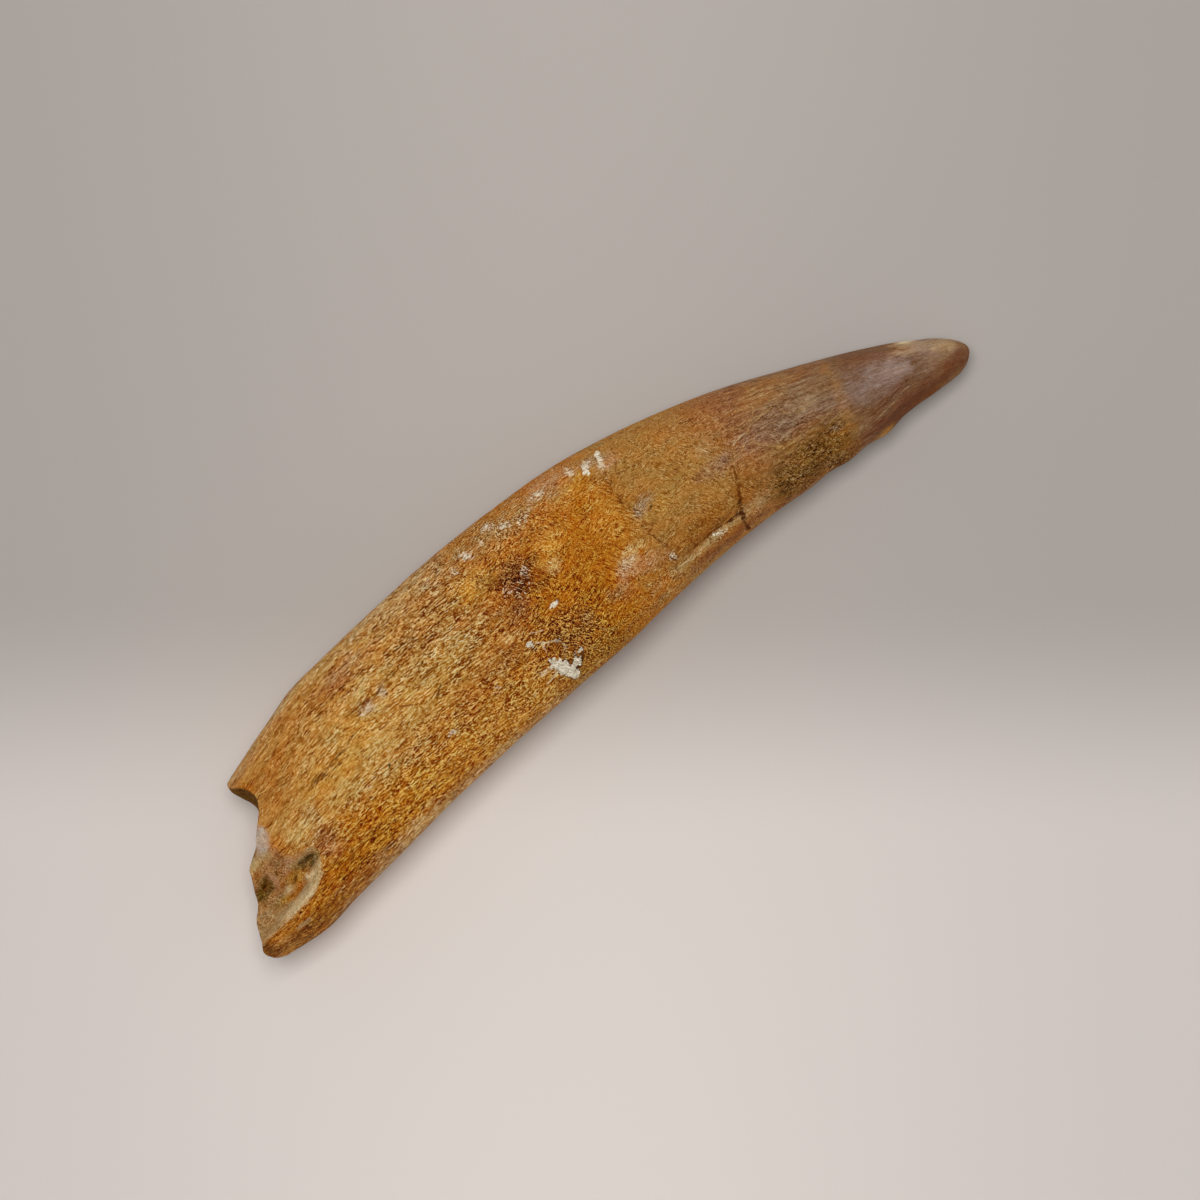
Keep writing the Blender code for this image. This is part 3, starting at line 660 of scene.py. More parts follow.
# Stains of the filling and of the broken wall, with painted shade in its hollow and slit, in the same
# columns.
BREAK_STAINS_AND_SHADE = [
    (-52.2, -2.4, 2, 1.4, 20, "sage", 0.4, 0.6), (-55, -8.9, 2.6, 0.7, 10, "tan", 0.4, 0.5),
    (-56.9, -8.3, 2.6, 1.5, 20, "drab", 0.75, 0.7), (-52, -9, 3, 0.7, 4, "cream", 0.55, 0.4),
    (-47.9, -7.7, 2, 0.9, 35, "bone", 0.8, 0.4), (-58.9, -8.6, 0.7, 1.2, 0, "drab", 0.6, 0.4),
    (-50.4, 0.5, 1.9, 0.95, 48, "ash", 0.9, 0.4), (-51.6, -1, 1.2, 0.7, 30, "ash", 0.5, 0.5),
    (-53.8, -1.6, 1.3, 0.6, 20, "sage", 0.7, 0.4), (-53, -2.2, 1.2, 0.16, 15, "brown", 0.9, 0.2),
    (-51.6, -1.9, 0.9, 0.6, 0, "sage", 0.6, 0.4), (-50.2, -2.1, 0.6, 0.8, 0, "rose", 0.5, 0.5),
    (-51.2, -2.7, 0.9, 0.1, 8, "umber", 0.9, 0.14), (-50.9, -3.2, 0.8, 0.1, -4, "umber", 0.9, 0.14),
    (-51.8, -3, 0.5, 0.08, 0, "umber", 0.8, 0.1), (-52.8, -3.1, 1.3, 0.6, 10, "rose", 0.7, 0.5),
    (-54.6, -3.3, 1, 0.4, 20, "brown", 0.6, 0.4), (-49.8, -4.1, 0.9, 0.4, -8, "blush", 0.6, 0.3),
    (-51.8, -4.2, 0.9, 0.3, 0, "russet", 0.6, 0.3),
    # painted shade: the dark moss, olive and umber darken the filling's hollow near (-54.5, -4.8)
    (-54.6, -4.9, 1.9, 1, 18, "moss", 0.95, 0.45), (-54.2, -4.7, 1, 0.45, 20, "olive", 0.9, 0.3),
    (-54.4, -4.5, 0.8, 0.25, 30, "umber", 0.7, 0.3), (-53.9, -5.5, 0.7, 0.25, -30, "umber", 0.7, 0.25),
    (-53, -4.9, 0.4, 0.9, 0, "blush", 0.8, 0.3), (-51.6, -5.2, 0.9, 0.5, 20, "russet", 0.8, 0.4),
    (-52.2, -5.8, 0.7, 0.2, 20, "rust", 0.6, 0.25), (-51, -4.9, 0.5, 0.3, 0, "blush", 0.6, 0.3),
    (-54.9, -6.9, 1.8, 1.1, 10, "drab", 0.6, 0.7), (-54.3, -7.5, 1.1, 0.6, -10, "moss", 0.5, 0.5),
    (-50.4, -6.4, 1.4, 0.8, 25, "gold", 0.8, 0.5), (-52.3, -6.9, 0.6, 0.4, 0, "cream", 0.6, 0.3),
    (-52.8, -7.9, 1, 0.4, -10, "gold", 0.7, 0.4), (-51.3, -7.8, 1.4, 0.35, 12, "amber", 0.9, 0.3),
    (-50.9, -6.6, 0.6, 0.2, 35, "umber", 0.9, 0.2), (-50.4, -6.2, 0.3, 0.15, 10, "umber", 0.7, 0.15),
    # partly painted shade: the moss, ink and umber dashes darken the slit in the filling near (-47.8,
    # -5.6)
    (-47.9, -4.8, 1.9, 0.4, -2, "bone", 0.7, 0.3), (-47.8, -5.7, 1.9, 0.75, -5, "moss", 0.65, 0.4),
    (-48.9, -5.2, 0.35, 0.2, 0, "ink", 0.8, 0.15), (-47.8, -5.35, 0.45, 0.16, -5, "ink", 0.9, 0.12),
    (-46.7, -5.6, 0.35, 0.2, -20, "ink", 0.8, 0.15), (-49, -6, 0.4, 0.15, 10, "umber", 0.8, 0.15),
    (-47.9, -6.35, 0.4, 0.1, 5, "ink", 0.8, 0.12), (-46.5, -6.2, 0.35, 0.15, 0, "ink", 0.6, 0.15),
    (-48.3, -5.8, 0.4, 0.14, 0, "sage", 0.6, 0.12), (-47, -5.95, 0.3, 0.12, 0, "sage", 0.7, 0.12),
    (-49.2, -7.3, 0.4, 0.35, 20, "cream", 0.7, 0.3), (-48.4, -7.4, 0.35, 0.25, 0, "cream", 0.7, 0.2),
    (-46.4, -6.9, 0.8, 0.4, 30, "bone", 0.7, 0.3),
]
# Places dusted with pale calcite, as (x, y, length, width, turn, strength).
DUSTED = [
    (-9.5, 10.3, 1.1, 1, 30, 0.82), (-7.2, 10.9, 1.7, 1, -20, 0.92),
    (-4.8, 10.8, 1.5, 0.9, 10, 0.74), (-2.6, 12, 1.6, 0.9, -12, 0.86),
    (-0.8, 10.6, 1.5, 0.9, -35, 0.86), (1.6, 9.8, 1.3, 1, 15, 0.86),
    (4.8, 10.9, 1.9, 0.9, -8, 0.92), (3.2, 10.5, 1.1, 0.9, 40, 0.78),
    (7.4, 10.2, 1.2, 0.6, -10, 0.62), (-13.4, 11.8, 2.2, 0.8, -12, 0.66),
    (10, 10.5, 0.8, 1.1, 20, 0.95), (12.2, 9.7, 1.2, 0.8, 10, 1),
    (13.8, 8.8, 0.8, 1.4, -25, 1), (13.1, 6.9, 0.7, 0.9, 0, 0.7),
    (-6, 4, 0.9, 1.3, 0, 0.78), (-2.7, 4.5, 1.2, 0.9, 10, 0.84),
    (-4.2, 3.4, 2.6, 1.6, -10, 0.66),
    (13, 0.8, 0.8, 0.9, 0, 0.7), (14.6, 1, 1.2, 0.6, 20, 0.62),
    (8.7, -3.3, 1.2, 0.7, 30, 0.72), (10.6, -5.6, 1.8, 1.3, -20, 0.5),
    (13.1, -6.4, 0.8, 1.3, 15, 0.9), (17, -8, 3.6, 0.4, 0, 0.55),
    (19.8, -8.1, 1.2, 0.45, -10, 1.15), (13.2, 0.6, 0.5, 0.7, 0, 1),
    (-7.2, -6.6, 1.6, 1.4, 0, 0.6), (-5.4, -4.9, 1.2, 1.4, 0, 0.56),
    (-8.2, -3.4, 1, 1.2, 0, 0.7), (-14.9, -4.6, 0.7, 0.5, -20, 0.95),
    (-23, -5.2, 0.9, 0.5, -5, 1.1), (-17.5, -7.4, 3, 1.6, -10, 0.56),
    (-30.3, 3.9, 0.6, 0.5, 0, 1.1), (-35.6, -3.6, 0.5, 0.6, 0, 1.1),
    (-15, 12, 4, 0.7, -8, 0.66), (-30.8, -1.8, 0.5, 0.6, 0, 1),
    (0.6, -7, 2.4, 1.6, -20, 0.5), (-0.4, -5, 1, 1.2, 0, 0.55),
    (-4.6, 4.2, 2, 1, 0, 0.46), (-46.4, -2.2, 2, 1, 0, 0.45),
    (-50.2, -11.8, 1.4, 0.5, 8, 0.6), (-43.4, -9, 1.4, 0.7, 10, 0.5),
    (29.4, -0.6, 1.6, 0.5, -4, 0.55), (34.2, 2.4, 1, 0.5, 10, 0.55),
    (-32.2, -11.4, 2, 0.5, 6, 0.55), (1.4, 3.4, 1.2, 1.4, 0, 0.42),
]
# Thin lines, as (colour, half width, strength, route): dark cracks and pale veins.
LINES = [
    ("umber", 0.12, 0.9, [(-40.6, 1.4), (-37.6, 1.8), (-34.6, 2.1), (-32.4, 2.9)]),
    ("umber", 0.07, 0.85, [(-41.5, 1), (-38.4, 1.2), (-36, 0.9)]),
    ("umber", 0.1, 0.85, [(-29.4, 6.6), (-28.4, 7), (-27.2, 7.3)]),
    ("umber", 0.06, 0.85, [(-35.6, 7.35), (-34.9, 7.05), (-33.9, 7), (-33.5, 7.4), (-34.2, 7.6),
                          (-35.2, 7.6), (-35.6, 7.35)]),
    ("umber", 0.08, 0.85, [(-27.6, 4.7), (-25.6, 5.2), (-22, 5.6)]),
    ("umber", 0.09, 0.85, [(-23.5, 7.5), (-19.8, 7.5)]),
    ("umber", 0.1, 0.85, [(-22, -0.8), (-20.2, 0.4)]),
    ("umber", 0.08, 0.85, [(-18.6, -0.1), (-15.2, 0.2)]),
    ("umber", 0.1, 0.85, [(-12.6, 2.2), (-11.4, 2.5)]),
    ("brown", 0.1, 0.8, [(-32, 1.4), (-31, 1.6), (-29.8, 1.5)]),
    ("maroon", 0.09, 0.8, [(-29.6, 1), (-27.6, 1.4), (-26, 1.7), (-24.6, 0.8)]),
    ("brown", 0.09, 0.8, [(-28.4, -0.3), (-27, 0), (-26, 0.3)]),
    ("maroon", 0.09, 0.8, [(-24.8, -1), (-23.4, -0.6)]),
    ("brown", 0.08, 0.8, [(-28.6, 2.7), (-26, 2.8)]),
    ("brown", 0.09, 0.8, [(-22.6, 2.1), (-21, 2.4), (-19.4, 2.5)]),
    ("maroon", 0.09, 0.8, [(-33.6, -1), (-32.6, -0.5)]),
    ("brown", 0.1, 0.8, [(-47, 3.6), (-44.4, 3.9), (-42.6, 3.6)]),
    ("brown", 0.1, 0.8, [(-45.2, 8.4), (-42, 8.9), (-39.6, 9.6)]),
    ("brown", 0.1, 0.8, [(-37.4, 10.6), (-34.6, 11.2), (-30.6, 11.4)]),
    ("brown", 0.1, 0.8, [(-31.6, 5.1), (-30.2, 5.2), (-28.6, 5)]),
    ("umber", 0.22, 1, [(12.6, 4.2), (12.6, 3.2)]),
    ("umber", 0.2, 1, [(12.8, -0.9), (13.3, -1.3), (13.8, -1.6)]),
    ("maroon", 0.12, 0.9, [(13.2, -0.6), (13.2, -2)]),
    ("umber", 0.1, 0.85, [(12.9, 2.6), (13.2, 1.6), (13.1, 0.2)]),
    ("umber", 0.08, 0.85, [(12.7, 4.9), (13.4, 5.9), (15.4, 7.6)]),
    ("umber", 0.08, 0.85, [(11.4, 8.4), (12, 7.8)]),
    ("bark", 0.12, 0.85, [(15.4, 0.8), (14.7, 0.2)]),
    ("bark", 0.08, 0.85, [(14.3, 2.6), (15.2, 2)]),
    ("bark", 0.12, 0.85, [(16.5, 2.1), (16.3, 1.8)]),
    ("umber", 0.12, 0.9, [(12.7, -2.4), (13, -3.6), (13.4, -5.2)]),
    ("umber", 0.12, 0.6, [(13.6, -6.6), (12.8, -7.4), (12.4, -8.2)]),
    ("umber", 0.12, 0.6, [(13.4, 7.4), (13, 6.2), (12.8, 5)]),
    ("brown", 0.12, 0.8, [(13, 2.8), (14.2, 2), (15.6, 1.6)]),
    ("umber", 0.2, 1, [(25.5, -4.9), (24.9, -5.7), (24.4, -6.5)]),
    ("bark", 0.26, 1, [(24.4, -6.5), (23.8, -7.4), (23.5, -8.3), (23.2, -9)]),
    ("bark", 0.24, 1, [(23.2, -9), (22.8, -10.1)]),
    ("bark", 0.2, 1, [(21.4, -7.7), (23.4, -7.8)]),
    ("umber", 0.12, 1, [(14.6, -7.3), (18, -7.3), (21, -7.5)]),
    ("umber", 0.08, 0.85, [(26.9, -2.4), (26.1, -3.2), (25.6, -4.4)]),
    ("straw", 0.07, 0.35, [(27.4, 6.2), (28.2, 4.2), (28.8, 2.5), (28.9, 1.4), (30.4, 0.4), (32, 0.6)]),
    ("cream", 0.08, 0.45, [(28, -0.5), (29.6, -0.3), (30.6, -0.6)]),
    ("straw", 0.07, 0.4, [(30.6, -0.6), (32, 0), (35, -0.1)]),
    ("straw", 0.07, 0.35, [(29.6, -1.4), (28.2, -2), (26.6, -2.6)]),
    ("straw", 0.07, 0.35, [(29.6, -1.4), (30.7, -2.2), (31, -3), (31.8, -3.8), (33, -4.7)]),
    ("straw", 0.06, 0.3, [(34.2, 4.6), (35, 3.2), (35.3, 1.6), (35.8, -0.2), (36.2, -2), (37.6, -3)]),
    ("straw", 0.05, 0.35, [(32.6, 0.9), (33.4, 1.6)]),
    ("straw", 0.05, 0.2, [(30.4, 4.9), (33, 4), (34.6, 3.4)]),
    ("straw", 0.05, 0.25, [(32.4, -1.2), (35, -1.9), (38.5, -3)]),
    ("drab", 0.05, 0.35, [(39, -0.6), (42.6, -2), (46, -2.8)]),
    ("drab", 0.05, 0.35, [(35.6, 2.2), (38.5, 1.4), (41, 0.8)]),
    ("sage", 0.06, 0.4, [(44.5, -10), (47, -9.9), (49, -9.6), (51, -9.4)]),
    ("bark", 0.08, 0.85, [(45.6, -9.2), (48, -9.1), (51, -8.7)]),
    ("umber", 0.09, 0.85, [(51.8, -3.9), (53.2, -5.5), (54.2, -5.8)]),
    ("sage", 0.07, 0.6, [(55.8, -5.8), (57.4, -7), (58.6, -8.4)]),
    ("straw", 0.08, 0.5, [(-30, -8.8), (-27.5, -8)]),
    ("straw", 0.07, 0.5, [(-19.6, -8.4), (-17.4, -7.4)]),
    ("cream", 0.1, 0.9, [(-7.3, -3.6), (-6.2, -4.4), (-5.3, -4.8), (-4.9, -5.4), (-5, -6.4)]),
    ("cream", 0.07, 0.7, [(-6.9, -2.2), (-6.3, -2.6), (-5.4, -2.9)]),
    ("cream", 0.07, 0.6, [(-7.1, -4), (-7, -5.2)]),
    ("straw", 0.07, 0.6, [(-5.1, -6.2), (-5.6, -6.7)]),
    ("cream", 0.08, 0.85, [(-9.4, -6.8), (-8.6, -6.9), (-7.8, -7.1)]),
    ("cream", 0.09, 0.85, [(-9.6, -7.2), (-7.8, -7.3)]),
    ("cream", 0.08, 0.85, [(-9.6, -8.4), (-8, -8.1), (-7.4, -8.2)]),
    ("straw", 0.09, 0.8, [(-3.8, -10.6), (-2.4, -10.6)]),
    ("straw", 0.07, 0.5, [(0, -7.4), (0.6, -8.2), (1.4, -8.6)]),
    ("bark", 0.16, 0.85, [(-5.9, -7.6), (-5.5, -8.2)]),
    ("bark", 0.14, 0.85, [(-5.6, -9.5), (-4.4, -9), (-3.4, -8.2)]),
    ("bark", 0.16, 0.85, [(-2, -0.9), (-1.8, -1.4)]),
]
# Small crisp spots, as (x, y, length, width, turn, colour).
SPOTS = [
    (-31.8, -3.1, 0.2, 0.25, 0, "ink"), (-28.4, 6.4, 0.5, 0.25, 30, "straw"),
    (-19.4, 7.2, 0.5, 0.2, -25, "umber"), (-29.6, 4.7, 0.5, 0.15, 15, "maroon"),
    (19.2, 3.7, 0.3, 0.2, 0, "brown"),
    (24.8, 2.7, 0.2, 0.35, 20, "brown"), (-10.9, 1.4, 0.5, 0.12, 10, "umber"),
    (-9.9, -1.7, 0.4, 0.15, 0, "maroon"), (-53.6, -11.5, 0.9, 0.25, 0, "drab"),
    (-28.7, 5, 0.3, 0.2, 0, "maroon"), (-31, 5.1, 0.4, 0.15, 10, "maroon"),
    (-26.3, 4, 0.2, 0.15, 0, "maroon"), (-23.7, -5.4, 0.2, 0.15, 0, "ink"),
    (-5.1, -5, 0.3, 0.25, 0, "slate"), (-1.8, -1.1, 0.3, 0.25, 20, "umber"),
]


def linear_light(colour):
    """An 8-bit colour as linear light, less what the surface's sheen adds to it."""
    share = np.array(colour) / 255.0
    linear = np.where(share < 0.04045, share / 12.92, ((share + 0.055) / 1.055) ** 2.4)
    return np.maximum(linear - SHEEN_LIGHT, 0.001)


def pigment(name):
    return linear_light(PALETTE[name])


def paint_stains_and_light(colour, stains, x, y, below, ragged):
    """Lay soft stains and painted light over a colour, one after another."""
    for stain_x, stain_y, length, width, turn, name, strength, edge in stains:
        inward = depth_in_patch(x, y, stain_x, stain_y, length, width, turn) - below
        cover = strength * smooth_step(-edge, edge, inward + edge * ragged)
        colour = colour + cover[:, None] * (pigment(name) - colour)
    return colour


def skin_colour(x, y, z, ragged, below):
    """The soft colour of every point: the tones along the tooth, and the stains, painted highlight and
    painted sheen on them.
    """
    sway = x + 2.6 * rough(x, y, z, 6.0, seed=23) + 1.2 * ragged
    stations = [station for station, _ in SKIN_TONES]
    tones = np.array([pigment(name) for _, name in SKIN_TONES])
    colour = np.stack([np.interp(sway, stations, tones[:, i]) for i in range(3)], axis=1)
    return paint_stains_and_light(colour, STAINS_AND_PAINTED_LIGHT, x, y, below, ragged)


def stone_colour(x, y, ragged, deep, inner):
    """The sandstone filling, the pale broken wall beside it, and the notch's face, painted dark brown
    partly as painted shade.
    """
    warm = smooth_step(-0.3, 0.3, rough(x, y, 0.0 * x, 1.6, seed=24) + 0.3 * ragged)[:, None]
    dark = smooth_step(0.1, 0.5, rough(x, y, 0.0 * x, 0.9, seed=25) + 0.3 * ragged)[:, None]
    colour = 1.08 * pigment("sand") + 0.7 * warm * (pigment("rose") - pigment("sand"))
    colour = colour + 0.5 * dark * (pigment("brown") - colour)
    wall = smooth_step(*PALE_WALL_EDGE, y + 0.4 * ragged)[:, None]
    colour = colour + wall * (pigment("drab") - colour)
    # The notch's fracture face is painted dark brown, partly as painted shade.
    notch = smooth_step(*NOTCH_SHADE_EDGE, y)[:, None]
    colour = colour + notch * ((pigment("umber") + pigment("moss")) / 2.0 - colour)
    colour = paint_stains_and_light(colour, BREAK_STAINS_AND_SHADE, x, y, 0.0 * x, ragged)
    section = pigment("drab") + inner * (pigment("russet") - pigment("drab"))
    section = section + 0.6 * dark * (pigment("walnut") - section)
    # painted shade: the inner part of the notch's face is darkened further with bark
    section = section + 0.7 * notch * inner * (pigment("bark") - section)
    return colour + deep * (section - colour)


def nearest_line(x, y, below):
    """The signed and the plain distance to the nearest line, its half width and its colour."""
    offset = np.full_like(x, 9.0)
    width = np.full_like(x, 0.1)
    colour = np.tile(np.append(pigment("umber"), 1.0), (len(x), 1))
    for name, half_width, strength, route in LINES:
        away = route_offset(route, x, y)
        closer = np.abs(away) < np.abs(offset)
        offset = np.where(closer, away, offset)
        width = np.where(closer, half_width, width)
        colour = np.where(closer[:, None], np.append(pigment(name), strength), colour)
    near = np.abs(offset) + below
    return np.stack([np.clip(offset, -3.0, 3.0), near, width], axis=1), colour


def spots_on(x, y, below, ragged, crust):
    """The colour and the cover of the calcite crusts and of the small spots."""
    colour = np.tile(pigment("chalk"), (len(x), 1))
    cover = crust
    best = np.where(crust > 0.01, 0.0, -0.8)
    for spot_x, spot_y, length, width, turn, name in SPOTS:
        inward = depth_in_patch(x, y, spot_x, spot_y, length, width, turn) - below
        colour = np.where((inward > best)[:, None], pigment(name), colour)
        cover = np.maximum(cover, smooth_step(-0.25, 0.2, inward + 0.25 * ragged))
        best = np.maximum(best, inward)
    return colour, cover


def grain_contrast(x, y, ragged, rugged, broken):
    """How strongly the coarse and the fine grain show at every point."""
    stations, coarse, fine = np.array(GRAIN_CONTRAST).T
    speckled = smooth_step(*SPECKLED_EDGE, y) * smooth_step(*SPECKLED_END, x)
    coarse = np.interp(x + ragged, stations, coarse) * (1.0 + 0.25 * speckled) * (1.0 + 0.6 * broken)
    fine = np.interp(x + ragged, stations, fine) * (1.0 + 0.8 * speckled) * (1.0 - 0.2 * broken)
    rugged = rugged * (1.0 - broken)
    return np.maximum(coarse, 2.0 * rugged), np.maximum(fine, 2.6 * rugged)


def paint_tooth(mesh, points, ring, angle):
    """Keep what the finish needs to know of every point as the mesh's own attributes."""
    x, y, z = points
    axis_y, axis_z, wide, thick = axis_of_tooth(x)
    on_top = smooth_step(-1.5, 0.5, z - axis_z)
    below = np.maximum(axis_z - z, 0.0) * 1.5
    ragged = 0.7 * rough(x / 1.2, y, z, 1.7, seed=21) + 0.6 * rough(x / 1.2, y, z, 0.85, seed=22)
    ragged = ragged + 0.45 * rough(x, y, z, 0.45, seed=26)

    # Where the tooth is broken, and the soft colour of its skin and of its filling.
    lost = np.where(z > axis_z - 2.0, depth_inside(LOST_WALL, x, y), -2.0)
    lost = np.where(ring < FACE_RINGS, 1.5, lost)
    broken = smooth_step(-0.2, 0.2, lost + 0.25 * ragged)
    deep = smooth_step(-0.6, -3.0, z - axis_z + 0.9 * ragged) * (ring < FACE_RINGS)
    inner = smooth_step(0.82, 0.68, ring / FACE_RINGS + 0.06 * ragged)
    colour = skin_colour(x, y, z, ragged, below)
    stone = stone_colour(x, y, ragged, deep[:, None], inner[:, None])
    colour = colour + broken[:, None] * (stone - colour)
    crust = smooth_step(0.02, 0.12, crust_height(x, y)) * on_top * (1.0 - broken)
    spot_colour, spot_share = spots_on(x, y, below, ragged, crust)
    lines, line_colour = nearest_line(x + 0.25 * ragged, y - 0.15 * ragged, below + 9.0 * broken)

    # The zones of the finish: woolly and fibrous root, rugged places, enamel, bare dentine.
    woolly = smooth_step(*WOOLLY_START, x + 2.0 * ragged) * smooth_step(*WOOLLY_EDGE, y + ragged)
    fibrous = (1.0 - smooth_step(*FIBRES_END, x + 2.5 * ragged)) * (1.0 - 0.5 * woolly)
    rugged = patch_share(RUGGED, x + 1.6 * ragged, y + 1.2 * ragged, 1.3) * on_top
    rugged = np.maximum(rugged, 0.6 * broken)
    enamel = smooth_step(*ENAMEL_START, x + 1.6 * ragged) * (1.0 - smooth_step(0.1, 0.3, rugged))
    below_edge = np.interp(x, *np.array(ENAMEL_EDGE).T) - y + 0.3 * ragged
    bare = smooth_step(-0.2, 0.2, below_edge) * smooth_step(*BARE_START, x) * on_top
    coarse, fine = grain_contrast(x, y, ragged, rugged, broken)
    across = (y - axis_y) * (GRAIN_WIDE / wide) ** GRAIN_STRETCH
    up = (z - axis_z) * (GRAIN_THICK / thick) ** GRAIN_STRETCH
    opaque = np.ones((len(x), 1))
    keep_values(mesh, {
        "grain": np.stack([x, across, up], axis=1),
        "lines": lines, "line_colour": line_colour,
        "skin_colour": np.hstack([colour, opaque]), "spot_colour": np.hstack([spot_colour, opaque]),
        "spot_share": spot_share, "chalky": crust, "fibrous": fibrous * (1.0 - broken),
        "rugged": rugged, "enamel": enamel * (1.0 - 0.5 * bare), "broken": broken,
        "dusted": patch_share(DUSTED, x, y, 0.7) * on_top * (1.0 - broken),
        "coarse": coarse, "fine": fine, "fluted": flute_wave(x, angle),
    })


def keep_values(mesh, values_of):
    """Keep values for every point of the mesh: plain numbers, vectors of 3 or colours of 4."""
    kinds = {1: ("FLOAT", "value"), 3: ("FLOAT_VECTOR", "vector"), 4: ("FLOAT_COLOR", "color")}
    for name, values in values_of.items():
        values = np.ascontiguousarray(values, dtype=np.float32)
        kind, slot = kinds[values.size // len(mesh.vertices)]
        layer = mesh.attributes.new(name, kind, "POINT")
        layer.data.foreach_set(slot, values.ravel())


def add_node(tree, kind, inputs=None, **settings):
    """Add a shader node; each input is a number, a colour or another node's output."""
    node = tree.nodes.new("ShaderNode" + kind)
    for name, value in settings.items():
        setattr(node, name, value)
    for name, value in (inputs or {}).items():
        if isinstance(value, bpy.types.NodeSocket):
            tree.links.new(value, node.inputs[name])
        else:
            node.inputs[name].default_value = value
    return node


# How far each texture lightens (+) or darkens (-) the colour.
COARSE_SHARE = 1.5
FINE_SHARE = 5.6
BAND_SHARE = 1.1
FLUTE_SHARE = 0.09
SPLIT_SHARE = -0.65
FLAKE_SHARE = 0.2
SPONGE_SHARE = -0.6
DARKEST = -1.3
PALEST = 1.1
RELIEF_DISTANCE = 0.07 * MM


